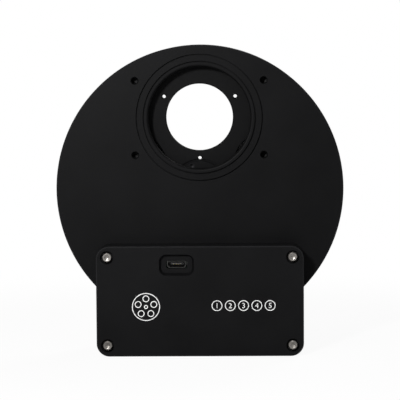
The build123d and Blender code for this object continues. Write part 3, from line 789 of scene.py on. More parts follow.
# ---- Repeated parts by Geometry Nodes ------------------------------------------------------------
class Scatter:
    """Geometry Nodes tree that sets copies of a template on points, joins them and gives them a finish."""

    TREE = "copies_on_points"

    def __init__(self) -> None:
        """Build the tree with its named inputs."""
        tree = bpy.data.node_groups.new(self.TREE, "GeometryNodeTree")
        face = tree.interface
        face.new_socket("Points", in_out="INPUT", socket_type="NodeSocketGeometry")
        face.new_socket("Template", in_out="INPUT", socket_type="NodeSocketObject")
        face.new_socket("Finish", in_out="INPUT", socket_type="NodeSocketMaterial")
        face.new_socket("Turn", in_out="INPUT", socket_type="NodeSocketFloat")
        face.new_socket("Seed", in_out="INPUT", socket_type="NodeSocketInt")
        face.new_socket("Copies", in_out="OUTPUT", socket_type="NodeSocketGeometry")
        entry = tree.nodes.new("NodeGroupInput")
        leave = tree.nodes.new("NodeGroupOutput")
        template = tree.nodes.new("GeometryNodeObjectInfo")
        spin = tree.nodes.new("FunctionNodeRandomValue")
        euler = tree.nodes.new("ShaderNodeCombineXYZ")
        copies = tree.nodes.new("GeometryNodeInstanceOnPoints")
        realize = tree.nodes.new("GeometryNodeRealizeInstances")
        paint = tree.nodes.new("GeometryNodeSetMaterial")
        link = tree.links.new
        link(entry.outputs["Template"], template.inputs["Object"])
        link(entry.outputs["Turn"], spin.inputs[3])
        link(entry.outputs["Seed"], spin.inputs["Seed"])
        link(spin.outputs[1], euler.inputs["Y"])
        link(entry.outputs["Points"], copies.inputs["Points"])
        link(template.outputs["Geometry"], copies.inputs["Instance"])
        link(euler.outputs["Vector"], copies.inputs["Rotation"])
        link(copies.outputs["Instances"], realize.inputs["Geometry"])
        link(realize.outputs["Geometry"], paint.inputs["Geometry"])
        link(entry.outputs["Finish"], paint.inputs["Material"])
        link(paint.outputs["Geometry"], leave.inputs["Copies"])
        self.tree = tree

    def place(self, name: str, template: bpy.types.Object, spots: Sequence[Vector],
              finish: bpy.types.Material, turn: float = 0.0, seed: int = 1) -> bpy.types.Object:
        """Set copies of a template on points as one plain mesh.

        Args:
            name: the new object's name.
            template: the object that is copied; it is removed afterwards.
            spots: where the copies go.
            finish: their material.
            turn: largest random turn about Y, in radians.
            seed: of the turns.

        Returns:
            The object.
        """
        mesh = bpy.data.meshes.new(name)
        mesh.from_pydata([tuple(s) for s in spots], [], [])
        thing = new_object(name, mesh)
        modifier = thing.modifiers.new("copies", "NODES")
        modifier.node_group = self.tree
        values = {"Template": template, "Finish": finish, "Turn": turn, "Seed": seed}
        for item in self.tree.interface.items_tree:
            if item.in_out == "INPUT" and item.name in values:
                modifier[item.identifier] = values[item.name]
        bake(thing)
        bpy.data.objects.remove(template)
        return smooth(thing)


# ---- What every sub-assembly shares --------------------------------------------------------------
class Workshop:
    """Hands out finishes and the scatter tree, and fixes finished pieces to the frame's bodies."""

    def __init__(self, layout: Layout) -> None:
        """Set up the wardrobe and the scatter tree."""
        self.layout = layout
        self.wardrobe = Wardrobe(layout)
        self.scatter = Scatter()
        self.count = 0

    def deliver(self, thing: bpy.types.Object, body: str, slot: str, *nodes: str,
                finish: Optional[bpy.types.Material] = None) -> bpy.types.Object:
        """Dress a piece and hand it to the frame.

        Args:
            thing: the finished piece.
            body: the CAD body that it rides on.
            slot: the record's material slot.
            nodes: CAD nodes that it stands for.
            finish: a material other than the slot's.

        Returns:
            The piece.
        """
        material = finish or self.wardrobe.finish(slot)
        thing.data.materials.clear()
        thing.data.materials.append(material)
        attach(thing, body)
        if nodes:
            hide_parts(*nodes)
        self.count += 1
        low, high = Vector(thing.bound_box[0]), Vector(thing.bound_box[6])
        size = (high - low) / MM
        LOG.info("%s: %d faces, %.1f x %.1f x %.1f mm", thing.name, len(thing.data.polygons), *size)
        return thing


def disc(name: str, centre: Spot, radius: float, front: float, back: float,
         segments: int = ROUND_SEGMENTS) -> bpy.types.Object:
    """Plain cylinder along Y between two depths."""
    return prism(name, circle(centre, radius, segments), front, back)


def holes(spots: Iterable[Spot], radius: float, front: float, back: float) -> list[bpy.types.Object]:
    """Cylinders that cut plain holes."""
    return [disc("hole", spot, radius, front, back, HOLE_SEGMENTS) for spot in spots]


CLEAR = 0.5 * MM


# ---- Housing, rear cover and lid -----------------------------------------------------------------
@dataclass(frozen=True)
class PortSizes:
    """Sizes of a clamped, threaded port."""

    thread: float = 20.6 * MM
    thread_depth: float = 0.42 * MM
    pitch: float = 0.75 * MM
    insert: float = 22.75 * MM
    flange: float = 24.4 * MM
    length: float = 5.0 * MM
    ring: float = 25.6 * MM
    lip: float = 1.0 * MM
    depth: float = 2.0 * MM
    edge: float = 0.06 * MM
    seam: float = 0.42 * MM
    mouth: float = 0.9 * MM
    fit: float = 0.02 * MM


@dataclass(frozen=True)
class ScrewSizes:
    """Sizes of a screw with a hexagon socket."""

    shank: float
    head: float
    head_height: float
    length: float
    key: float
    bevel: float = 0.2 * MM
    countersunk: bool = False


LID_SCREW = ScrewSizes(1.0 * MM, 1.9 * MM, 2.0 * MM, 6.0 * MM, 0.95 * MM, 0.32 * MM)
COVER_SCREW = ScrewSizes(1.25 * MM, 2.35 * MM, 1.1 * MM, 9.0 * MM, 0.86 * MM, 0.08 * MM, True)


@dataclass(frozen=True)
class HousingSizes:
    """Sizes of the milled housing, its cover and its lid."""

    front_wall: float = 6.0 * MM
    cavity: float = 52.2 * MM
    pocket: float = 9.2 * MM
    edge: float = 0.5 * MM
    corner: float = 5.2 * MM
    wall: float = 3.0 * MM
    floor: float = 3.5 * MM
    boss: float = 4.0 * MM
    lid_edge: float = 0.45 * MM
    relief: float = 0.6 * MM
    adapter_circle: float = 30.0 * MM
    adapter_angle: float = 30.0
    adapter_hole: float = 1.25 * MM
    adapter_root: float = 1.5 * MM
    adapter_pitch: float = 0.5 * MM
    adapter_depth: float = 4.5 * MM
    adapter_mouth: float = 0.36 * MM
    lid_screw_inset: float = 4.4 * MM
    counterbore: float = 2.67 * MM
    cover_circle: float = 55.1 * MM
    cover_start: float = -18.0
    cover_step: float = 43.2
    cover_on_drum: int = 6
    bushing: float = 3.32 * MM
    axle: float = 4.02 * MM
    axle_skin: float = 2.0 * MM


def four(half_width: float, half_height: float, middle: float = 0.0) -> list[Spot]:
    """Four spots at the corners of a rectangle centred on X = 0."""
    return [(x * half_width, middle + z * half_height) for x in (-1, 1) for z in (-1, 1)]


class Housing:
    """Drum and electronics box milled from one block, with the rear cover and the lid."""

    def __init__(self, shop: Workshop, sizes: HousingSizes, port: PortSizes, socket: "SocketSizes") -> None:
        """Work out the places of the holes."""
        self.shop = shop
        self.sizes = sizes
        self.port = port
        self.socket = socket
        lay = shop.layout
        angle = math.radians(sizes.adapter_angle)
        reach = sizes.adapter_circle
        self.adapter_spots = four(reach * math.cos(angle), reach * math.sin(angle))
        inset = sizes.lid_screw_inset
        self.lid_spots = four(lay.box_half_width - inset, lay.box_height / 2 - inset, lay.box_middle)
        ring = (sizes.cover_start + sizes.cover_step * n for n in range(sizes.cover_on_drum))
        self.cover_spots = [polar(lay.wheel, sizes.cover_circle, a) for a in ring]
        foot = lay.box_half_width - sizes.corner
        self.cover_spots += [(-foot, lay.box_bottom + sizes.corner), (foot, lay.box_bottom + sizes.corner)]

    def box_outline(self) -> list[Point2]:
        """Outline of the electronics box."""
        lay = self.shop.layout
        return rounded((0, lay.box_middle), 2 * lay.box_half_width, lay.box_height, self.sizes.corner)

    def port_cut(self, face: float, inward: int, through: float) -> bpy.types.Object:
        """Recess and bore for a port, with a chamfered mouth.

        Args:
            face: depth of the outer face.
            inward: 1 at the front, -1 at the back.
            through: depth where the bore ends.

        Returns:
            The cutter.
        """
        p = self.port
        recess = p.ring + p.fit
        bore = p.insert + p.fit
        steps = [(0, -CLEAR), (recess + p.edge, -CLEAR), (recess + p.edge, 0), (recess, p.edge),
                 (recess, p.depth), (bore, p.depth)]
        profile = [(radius, face + inward * depth) for radius, depth in steps]
        return lathe("port_cut", [*profile, (bore, through), (0, through)])

    def tapped_hole(self, spot: Spot) -> bpy.types.Object:
        """Cutter for a tapped hole with a chamfered mouth and the drill's cone at its end."""
        s = self.sizes
        tip = s.adapter_depth + s.adapter_hole * 0.3
        mouth = s.adapter_hole + s.adapter_mouth
        start = 2 * s.adapter_mouth
        thread = thread_steps(s.adapter_hole, start, s.adapter_depth, s.adapter_pitch)
        profile = [(0, -CLEAR), (mouth, -CLEAR), (mouth, 0), *thread, (0, tip)]
        wave = thread_wave(s.adapter_hole, s.adapter_root, s.adapter_pitch, start, s.adapter_depth)
        return lathe("tapped_hole", profile, spot, HOLE_SEGMENTS, wave)

    def compartment(self) -> bpy.types.Object:
        """Cutter for the electronics compartment, which leaves the bosses of the lid's screws."""
        s, lay = self.sizes, self.shop.layout
        front, back = lay.lid_back - CLEAR, s.floor
        width = 2 * (lay.box_half_width - s.wall)
        outline = rounded((0, lay.box_middle), width, lay.box_height - 2 * s.wall, 1.5 * MM, 6)
        room = prism("compartment", outline, front, back)
        return combine(room, holes(self.lid_spots, s.boss, front - CLEAR, back + CLEAR), "DIFFERENCE")

    def build_body(self) -> bpy.types.Object:
        """Mill the housing."""
        s, p, lay = self.sizes, self.port, self.shop.layout
        drum = circle(lay.wheel, lay.drum_radius, 2 * ROUND_SEGMENTS)
        body = prism("housing_body", drum, 0, lay.body_back, s.edge)
        combine(body, [prism("box", self.box_outline(), lay.lid_back, lay.body_back)], "UNION")
        back = lay.body_back + CLEAR
        cuts = [
            disc("cavity", lay.wheel, s.cavity, s.front_wall, back),
            disc("pocket", lay.pinion, s.pocket, s.front_wall, back),
            disc("relief", (0, 0), p.insert + s.relief, lay.cover_back - p.length - s.relief, back),
            self.compartment(),
            self.port_cut(0, 1, s.front_wall + CLEAR),
            disc("bushing", lay.pinion, s.bushing, s.floor - CLEAR, s.front_wall + CLEAR, HOLE_SEGMENTS),
            disc("axle", lay.wheel, s.axle, s.axle_skin, s.front_wall + CLEAR, HOLE_SEGMENTS),
        ]
        cuts += [self.tapped_hole(spot) for spot in self.adapter_spots]
        shank = LID_SCREW.shank + p.fit
        cuts += holes(self.lid_spots, shank, lay.lid_back - CLEAR, lay.lid_back + LID_SCREW.length + MM)
        shank = COVER_SCREW.shank + p.fit
        cuts += holes(self.cover_spots, shank, lay.cover_back - COVER_SCREW.length - MM, back)
        return smooth(combine(body, cuts, "DIFFERENCE"))

    def build_cover(self) -> bpy.types.Object:
        """Make the rear cover with its countersinks."""
        s, p, lay = self.sizes, self.port, self.shop.layout
        drum = circle(lay.wheel, lay.drum_radius, 2 * ROUND_SEGMENTS)
        cover = prism("rear_plate", drum, lay.body_back, lay.cover_back, 0, s.edge)
        box = prism("box", self.box_outline(), lay.body_back, lay.cover_back, 0, s.edge)
        combine(cover, [box], "UNION")
        cuts = [self.port_cut(lay.cover_back, -1, lay.body_back - CLEAR)]
        head, shank = COVER_SCREW.head + p.fit, COVER_SCREW.shank + p.fit
        face = lay.cover_back
        profile = [(0, face + CLEAR), (head, face + CLEAR), (head, face), (shank, face - head + shank),
                   (shank, lay.body_back - CLEAR), (0, lay.body_back - CLEAR)]
        cuts += [lathe("countersink", profile, spot, HOLE_SEGMENTS) for spot in self.cover_spots]
        return smooth(combine(cover, cuts, "DIFFERENCE"))

    def build_lid(self) -> bpy.types.Object:
        """Make the lid, a hair behind the CAD's face so that the marking stays inside the CAD's size."""
        s, lay, socket = self.sizes, self.shop.layout, self.socket
        face = lay.lid_front + INK_HEIGHT
        lid = prism("box_lid", self.box_outline(), face, lay.lid_back, s.lid_edge)
        middle = socket.centre(lay)
        mouth = 2 * socket.draft * CLEAR / (CLEAR + socket.recess_depth)
        recess = rounded(middle, *(side + mouth for side in socket.recess), socket.recess_corner)
        window = rounded(middle, *socket.window, socket.window_corner)
        cuts = holes(self.lid_spots, s.counterbore, face - CLEAR, lay.lid_front + LID_SCREW.head_height)
        cuts += holes(self.lid_spots, LID_SCREW.shank + self.port.fit, lay.lid_front, lay.lid_back + CLEAR)
        floor = lay.lid_front + socket.recess_depth
        cuts.append(prism("recess", recess, face - CLEAR, floor, draft=socket.draft))
        cuts.append(prism("window", window, face, lay.lid_back + CLEAR))
        return smooth(combine(lid, cuts, "DIFFERENCE"))

    def build(self) -> None:
        """Build and hand over all three plates with their screws."""
        shop, lay = self.shop, self.shop.layout
        shop.deliver(self.build_body(), "housing", "black_anodised", "housing")
        shop.deliver(self.build_cover(), "housing", "black_anodised", "rear_cover")
        shop.deliver(self.build_lid(), "housing", "black_anodised", "electronics_lid",
                     finish=LID_FINISH.material(lay))
        steel = shop.wardrobe.finish("stainless_screws")
        seat = lay.lid_front + LID_SCREW.head_height
        spots = [Vector((x, seat, z)) for x, z in self.lid_spots]
        lid_screws = shop.scatter.place("lid_screw_set", screw(LID_SCREW), spots, steel, math.tau, 3)
        shop.deliver(lid_screws, "housing", "stainless_screws", "lid_screws")
        spots = [Vector((x, lay.cover_back, z)) for x, z in self.cover_spots]
        cover_screws = shop.scatter.place("cover_screw_set", screw(COVER_SCREW), spots, steel, math.tau, 5)
        shop.deliver(cover_screws, "housing", "stainless_screws", "cover_screws")


def screw(size: ScrewSizes) -> bpy.types.Object:
    """Screw along Y with a hexagon socket, its seat or countersunk face at the origin.

    Args:
        size: the screw's sizes. A countersunk screw points forwards, the others backwards.

    Returns:
        The template.
    """
    pitch = 0.4 * size.shank
    root = size.shank * 0.84
    tip = size.length
    if size.countersunk:
        depth_of_head = size.head - size.shank
        top = 0.0
        head = [(0, 0), (size.head - size.bevel, 0), (size.head, -size.bevel), (size.shank, -depth_of_head)]
        start, end, way = depth_of_head + pitch, tip - pitch, -1
    else:
        top = -size.head_height
        head = [(0, top), (size.head - size.bevel, top), (size.head, top + size.bevel), (size.head, 0),
                (size.shank, 0)]
        start, end, way = pitch, tip - pitch, 1
    thread = [(radius, way * depth) for radius, depth in thread_steps(root, start, end, pitch, 6)]
    profile = [*head, *thread, (size.shank * 0.6, way * tip), (0, way * tip)]

    def crest(radius: float, depth: float, angle: float) -> float:
        """Raise the thread's crests above its root."""
        if abs(radius - root) > 1e-7:
            return radius
        turn = (depth / pitch + angle / math.tau) % 1
        return root + (size.shank - root) * min(1.0, 1.8 * (1 - abs(turn * 2 - 1)))

    blank = lathe("screw", profile, segments=HOLE_SEGMENTS, wave=crest)
    key_depth = KEY_DEPTH * (size.head_height if not size.countersunk else size.head)
    inside = 1 if top < 0 else -1
    floor = top + inside * key_depth
    ends = sorted((top - inside * CLEAR, floor))
    lead, drill = size.key * KEY_LEAD, size.key * KEY_DRILL
    mouth = [(0, top - inside * CLEAR), (lead, top - inside * CLEAR), (lead, top),
             (0, top + inside * lead * 0.5)]
    bottom = [(0, floor - inside * CLEAR), (drill, floor - inside * CLEAR), (drill, floor),
              (0, floor + inside * drill * 0.6)]
    cuts = [prism("key", circle((0, 0), size.key, 6), *ends)]
    cuts += [lathe("cone", cone, segments=HOLE_SEGMENTS) for cone in (mouth, bottom)]
    return combine(blank, cuts, "DIFFERENCE")


# ---- Ports ---------------------------------------------------------------------------------------
class Port:
    """Clamp ring and threaded insert, flush with the face that they sit in."""

    def __init__(self, shop: Workshop, sizes: PortSizes, side: str, face: float, inward: int) -> None:
        """Keep where the port sits.

        Args:
            shop: hands the pieces over.
            sizes: the port's sizes.
            side: "front" or "rear".
            face: depth of the outer face.
            inward: 1 at the front, -1 at the back.
        """
        self.shop = shop
        self.sizes = sizes
        self.side = side
        self.face = face
        self.inward = inward

    def turned(self, name: str, profile: Sequence[Point2], wave: Optional[Wave] = None) -> bpy.types.Object:
        """Lathe a profile whose depths count inwards from the face."""
        placed = [(radius, self.face + self.inward * depth) for radius, depth in profile]
        return lathe(name, placed, wave=wave)

    def build_ring(self) -> bpy.types.Object:
        """Turn the clamp ring."""
        s = self.sizes
        inner, step, rim = s.insert + s.fit, s.flange + s.fit, s.ring - s.seam
        profile = [(inner, s.edge), (inner + s.edge, 0), (rim - s.edge, 0), (rim, s.edge), (rim, s.lip),
                   (s.ring, s.lip), (s.ring, s.depth), (step, s.depth), (step, s.lip), (inner, s.lip)]
        return smooth(self.turned(f"{self.side}_clamp_ring", profile))

    def build_insert(self) -> bpy.types.Object:
        """Turn the insert: rounded mouth, helical thread, relief and flange."""
        s = self.sizes
        steps = 12
        angles = [math.pi / 2 * n / steps for n in range(steps + 1)]
        mouth = [(s.thread + s.mouth * (1 - math.cos(a)), s.mouth * (1 - math.sin(a)))
                 for a in reversed(angles)]
        end = s.length - 0.3 * MM
        rim = s.insert - s.seam
        thread = thread_steps(s.thread, s.mouth, end, s.pitch)[1:]
        outer = [(s.thread + 0.25 * MM, s.length), (s.insert, s.length), (s.insert, s.depth),
                 (s.flange, s.depth), (s.flange, s.lip), (rim, s.lip), (rim, s.edge), (rim - s.edge, 0)]
        depths = sorted((self.face + self.inward * s.mouth, self.face + self.inward * end))
        wave = thread_wave(s.thread, s.thread + s.thread_depth, s.pitch, *depths)
        return smooth(self.turned(f"{self.side}_thread", [*mouth, *thread, *outer], wave))

    def build(self) -> None:
        """Build and hand over both pieces."""
        ring, insert = f"{self.side}_port_ring", f"{self.side}_thread_insert"
        self.shop.deliver(self.build_ring(), "housing", "port_anodised", ring)
        self.shop.deliver(self.build_insert(), "housing", "port_anodised", insert)


# ---- Carousel, hub and bearing -------------------------------------------------------------------
@dataclass(frozen=True)
class GearSizes:
    """Sizes of a spur gear with involute flanks."""

    teeth: int
    addendum: float
    module: float = 0.8 * MM
    dedendum: float = 1.0 * MM
    backlash: float = 0.14 * MM
    pressure: float = math.radians(20)

    @property
    def pitch(self) -> float:
        """Pitch radius."""
        return self.module * self.teeth / 2

    def outline(self, centre: Spot, phase: float) -> list[Point2]:
        """Outline of the gear, anticlockwise.

        Args:
            centre: where the axis crosses the XZ plane.
            phase: angle of one tooth's middle, in radians.

        Returns:
            The points.
        """
        base = self.pitch * math.cos(self.pressure)
        low, high = self.pitch - self.dedendum, self.pitch + self.addendum
        start = max(low, base)
        steps = 5
        radii = [start + (high - start) * n / steps for n in range(steps + 1)]
        if low < base:
            radii.insert(0, low)
        points = []
        for tooth in range(self.teeth):
            middle = phase + math.tau * tooth / self.teeth
            sides = [(r, self.half_angle(r, base)) for r in radii]
            for sign, run in ((-1, sides), (1, reversed(sides))):
                for r, half in run:
                    points.append((centre[0] + r * math.cos(middle + sign * half),
                                   centre[1] + r * math.sin(middle + sign * half)))
        return points

    def half_angle(self, radius: float, base: float) -> float:
        """Half the angle that a tooth fills at a radius."""
        lift = math.acos(min(1.0, base / radius))
        half = math.pi / (2 * self.teeth) - self.backlash / (4 * self.pitch)
        return half + math.tan(self.pressure) - self.pressure - (math.tan(lift) - lift)


@dataclass(frozen=True)
class CarouselSizes:
    """Sizes of the carousel, its filter seats and its hub."""

    gear: GearSizes = GearSizes(126, 0.6 * MM)
    seats: int = 5
    seat_circle: float = 28.7 * MM
    aperture: float = 13.5 * MM
    lip: float = 0.8 * MM
    thread: float = 13.93 * MM
    thread_root: float = 14.25 * MM
    thread_pitch: float = 0.6 * MM
    seat: float = 15.6 * MM
    seat_depth: float = 2.0 * MM
    retainer_circle: float = 16.7 * MM
    retainer: float = 0.72 * MM
    retainers: int = 3
    magnet_circle: float = 42.4 * MM
    magnet: float = 1.5 * MM
    magnet_length: float = 2.0 * MM
    magnet_start: float = 54.0
    home_step: float = 6.0
    hub: float = 11.0 * MM
    bore: float = 8.02 * MM
    shoulder: float = 6.9 * MM
    cap: float = 10.9 * MM
    cap_thickness: float = 1.0 * MM
    cap_bore: float = 5.6 * MM
    cap_groove: float = 0.8 * MM
    cap_screw_circle: float = 9.45 * MM
    cap_screw_start: float = 111.0
    cap_screws: int = 3
    edge: float = 0.18 * MM
    mouth: float = 0.35 * MM


CAP_SCREW = ScrewSizes(0.8 * MM, 1.35 * MM, 0.55 * MM, 3.6 * MM, 0.5 * MM, 0.05 * MM, True)


class Carousel:
    """Turning disc with five threaded filter seats, its magnets and its hub cap."""

    def __init__(self, shop: Workshop, sizes: CarouselSizes) -> None:
        """Work out the places of seats, magnets and screws."""
        self.shop = shop
        self.sizes = sizes
        wheel = shop.layout.wheel
        step = 360 / sizes.seats
        self.seat_angles = [90 + step * n for n in range(sizes.seats)]
        self.seat_spots = [polar(wheel, sizes.seat_circle, a) for a in self.seat_angles]
        magnets = [sizes.magnet_start + step * n for n in range(sizes.seats)]
        magnets.append(sizes.magnet_start + sizes.home_step)
        self.magnet_spots = [polar(wheel, sizes.magnet_circle, a) for a in magnets]
        turns = (sizes.cap_screw_start + 360 / sizes.cap_screws * n for n in range(sizes.cap_screws))
        self.cap_spots = [polar(wheel, sizes.cap_screw_circle, a) for a in turns]

    def seat_cut(self, spot: Spot) -> bpy.types.Object:
        """Cutter for one filter seat: aperture, threaded pocket, shoulder and chamfered mouth."""
        s, lay = self.sizes, self.shop.layout
        front, back = lay.carousel_front, lay.carousel_back
        lip, step = front + s.lip, back - s.seat_depth
        thread = thread_steps(s.thread, lip, step, s.thread_pitch)
        mouth = s.aperture + s.mouth
        profile = [(0, front - CLEAR), (mouth, front - CLEAR), (mouth, front),
                   (s.aperture, front + 1.6 * s.mouth), (s.aperture, lip), *thread, (s.seat, step),
                   (s.seat, back - s.edge), (s.seat + s.edge, back), (s.seat + s.edge, back + CLEAR),
                   (0, back + CLEAR)]
        wave = thread_wave(s.thread, s.thread_root, s.thread_pitch, lip, step)
        return lathe("seat", profile, spot, ROUND_SEGMENTS, wave)

    def retainer_spots(self) -> list[Spot]:
        """Places of the small holes round each seat for the filters' retaining screws."""
        s = self.sizes
        step = 360 / s.retainers
        return [polar(spot, s.retainer_circle, angle + 180 + step * n)
                for spot, angle in zip(self.seat_spots, self.seat_angles) for n in range(s.retainers)]

    def build_disc(self) -> bpy.types.Object:
        """Cut the carousel from its toothed blank."""
        s, lay = self.sizes, self.shop.layout
        front, back = lay.carousel_front, lay.carousel_back
        plate = prism("filter_carousel", s.gear.outline(lay.wheel, math.pi / 2), front, back)
        combine(plate, [disc("hub", lay.wheel, s.hub, front + CLEAR, lay.hub_back)], "UNION")
        cuts = [self.seat_cut(spot) for spot in self.seat_spots]
        wide = s.retainer + s.mouth
        profile = [(0, front - CLEAR), (wide, front - CLEAR), (wide, front),
                   (s.retainer, front + 1.6 * s.mouth), (s.retainer, back + CLEAR), (0, back + CLEAR)]
        cuts += [lathe("retainer_hole", profile, spot, HOLE_SEGMENTS) for spot in self.retainer_spots()]
        cuts += holes(self.magnet_spots, s.magnet, front - CLEAR, front + s.magnet_length)
        cuts.append(disc("bearing_bore", lay.wheel, s.bore, front - CLEAR, back))
        cuts.append(disc("shoulder", lay.wheel, s.shoulder, back - CLEAR, lay.hub_back + CLEAR))
        rim, floor = s.cap + s.cap_groove, front + s.cap_groove
        room = [(s.cap, front - CLEAR), (rim, front - CLEAR), (rim, floor), (s.cap, floor)]
        cuts.append(lathe("cap_groove", room, lay.wheel))
        depth = front + CAP_SCREW.length - s.cap_thickness
        cuts += holes(self.cap_spots, CAP_SCREW.shank + 0.02 * MM, front - CLEAR, depth)
        return smooth(combine(plate, cuts, "DIFFERENCE"))

    def build_cap(self) -> bpy.types.Object:
        """Turn the hub cap and countersink it for its screws."""
        s, lay = self.sizes, self.shop.layout
        front, back = lay.carousel_front - s.cap_thickness, lay.carousel_front
        edge = s.edge
        profile = [(s.cap_bore, back), (s.cap_bore, front + edge), (s.cap_bore + edge, front),
                   (s.cap - edge, front), (s.cap, front + edge), (s.cap, back)]
        cap = lathe("hub_cap_disc", profile, lay.wheel)
        head, shank = CAP_SCREW.head + 0.02 * MM, CAP_SCREW.shank + 0.02 * MM
        sink = [(0, front - CLEAR), (head, front - CLEAR), (head, front), (shank, front + head - shank),
                (shank, back + CLEAR), (0, back + CLEAR)]
        cuts = [lathe("countersink", sink, spot, HOLE_SEGMENTS) for spot in self.cap_spots]
        return smooth(combine(cap, cuts, "DIFFERENCE"))

    def build(self) -> None:
        """Build and hand over the carousel and what is fixed to it."""
        s, shop, lay = self.sizes, self.shop, self.shop.layout
        shop.deliver(self.build_disc(), "carousel", "carousel_anodised", "carousel")
        shop.deliver(self.build_cap(), "carousel", "carousel_anodised", "hub_cap")
        edge = 0.12 * MM
        profile = [(0, 0), (s.magnet - edge, 0), (s.magnet, edge), (s.magnet, s.magnet_length - edge),
                   (s.magnet - edge, s.magnet_length), (0, s.magnet_length)]
        template = lathe("magnet", profile, segments=HOLE_SEGMENTS)
        spots = [Vector((x, lay.carousel_front, z)) for x, z in self.magnet_spots]
        nickel = shop.wardrobe.finish("magnet_nickel")
        magnets = shop.scatter.place("index_magnet_set", template, spots, nickel)
        shop.deliver(magnets, "carousel", "magnet_nickel", "index_magnets")
        template = screw(CAP_SCREW)
        template.data.transform(Matrix.Rotation(math.pi, 4, "X"))
        spots = [Vector((x, lay.carousel_front - s.cap_thickness, z)) for x, z in self.cap_spots]
        oxide = shop.wardrobe.finish("black_oxide_steel")
        screws = shop.scatter.place("hub_cap_screw_set", template, spots, oxide, math.tau, 9)
        shop.deliver(screws, "carousel", "black_oxide_steel", "hub_cap_screws")


@dataclass(frozen=True)
class BearingSizes:
    """Sizes of the axle and the ball bearing."""

    axle: float = 4.0 * MM
    flange: float = 5.0 * MM
    race: float = 1.1 * MM
    outer: float = 8.0 * MM
    width: float = 5.0 * MM
    ball: float = 1.2 * MM
    balls: int = 8
    groove: float = 1.25 * MM
    edge: float = 0.25 * MM
    washer: float = 5.0 * MM
    washer_thickness: float = 0.6 * MM
    screw: ScrewSizes = ScrewSizes(1.5 * MM, 2.75 * MM, 1.5 * MM, 5.0 * MM, 1.12 * MM)
    fit: float = 0.02 * MM


class Bearing:
    """Fixed axle and the ball bearing that carries the carousel."""

    def __init__(self, shop: Workshop, sizes: BearingSizes) -> None:
        """Keep the sizes."""
        self.shop = shop
        self.sizes = sizes

    def groove(self, wall: float, side: int) -> list[Point2]:
        """Points of the ball groove in a race.

        Args:
            wall: radius of the race's wall at the groove.
            side: 1 if the groove opens outwards, -1 inwards.

        Returns:
            Points from front to back.
        """
        s = self.sizes
        circle_radius = (s.axle + s.outer) / 2
        middle = self.shop.layout.carousel_front + s.width / 2
        reach = math.acos(abs(wall - circle_radius) / s.groove)
        steps = 16
        angles = [reach * (1 - 2 * n / steps) for n in range(steps + 1)]
        return [(circle_radius - side * s.groove * math.cos(a), middle - s.groove * math.sin(a))
                for a in angles]

    def build(self) -> None:
        """Build and hand over axle, washer, screw, races and balls."""
        s, shop, lay = self.sizes, self.shop, self.shop.layout
        front = lay.carousel_front
        back = front + s.width
        slot = "bearing_steel"
        e = s.edge
        inner = s.axle + s.race
        profile = [(s.axle + s.fit, back - e), (s.axle + s.fit, front + e), (s.axle + s.fit + e, front),
                   (inner - e, front), (inner, front + e), *self.groove(inner, 1), (inner, back - e),
                   (inner - e, back), (s.axle + s.fit + e, back)]
        shop.deliver(smooth(lathe("inner_race", profile, lay.wheel)), "housing", slot, "bearing_inner_race")
        outer = s.outer - s.race
        profile = [(outer, front + e), (outer + e, front), (s.outer - e, front), (s.outer, front + e),
                   (s.outer, back - e), (s.outer - e, back), (outer + e, back), (outer, back - e),
                   *reversed(self.groove(outer, -1))]
        shop.deliver(smooth(lathe("outer_race", profile, lay.wheel)), "carousel", slot, "bearing_outer_race")
        template = self.ball()
        middle = front + s.width / 2
        step = 360 / s.balls
        spots = [polar(lay.wheel, (s.axle + s.outer) / 2, step * n) for n in range(s.balls)]
        places = [Vector((x, middle, z)) for x, z in spots]
        balls = shop.scatter.place("bearing_ball_set", template, places, shop.wardrobe.finish(slot))
        shop.deliver(balls, "ball_set", slot, "bearing_balls")
        washer_back = back + s.washer_thickness
        bore = s.screw.shank + s.fit
        profile = [(bore, back), (s.washer, back), (s.washer, washer_back - e), (s.washer - e, washer_back),
                   (bore, washer_back)]
        washer = smooth(lathe("retaining_washer", profile, lay.wheel))
        shop.deliver(washer, "housing", "stainless_screws", "axle_washer")
        template = screw(s.screw)
        template.data.transform(Matrix.Rotation(math.pi, 4, "X"))
        place = [Vector((lay.wheel[0], washer_back, lay.wheel[1]))]
        steel = shop.wardrobe.finish("stainless_screws")
        bolt = shop.scatter.place("axle_bolt", template, place, steel, 0.4, 2)
        shop.deliver(bolt, "housing", "stainless_screws", "axle_screw")

    def ball(self) -> bpy.types.Object:
        """Template of one ball."""
        shape = bmesh.new()
        bmesh.ops.create_uvsphere(shape, u_segments=32, v_segments=20, radius=self.sizes.ball)
        return from_bmesh("ball", ordered(shape))


# ---- Drive: pinion, shaft and geared motor -------------------------------------------------------
@dataclass(frozen=True)
class DriveSizes:
    """Sizes of the pinion and the geared motor."""

    gear: GearSizes = GearSizes(18, 0.8 * MM)
    hub: float = 4.2 * MM
    hub_length: float = 3.0 * MM
    shaft: float = 1.5 * MM
    set_screw: float = 1.0 * MM
    can: float = 10.0 * MM
    can_offset: float = 6.0 * MM
    sunk: float = 4.0 * MM
    edge: float = 0.5 * MM
    bushing: float = 3.3 * MM
    fit: float = 0.02 * MM
    running_fit: float = 0.05 * MM


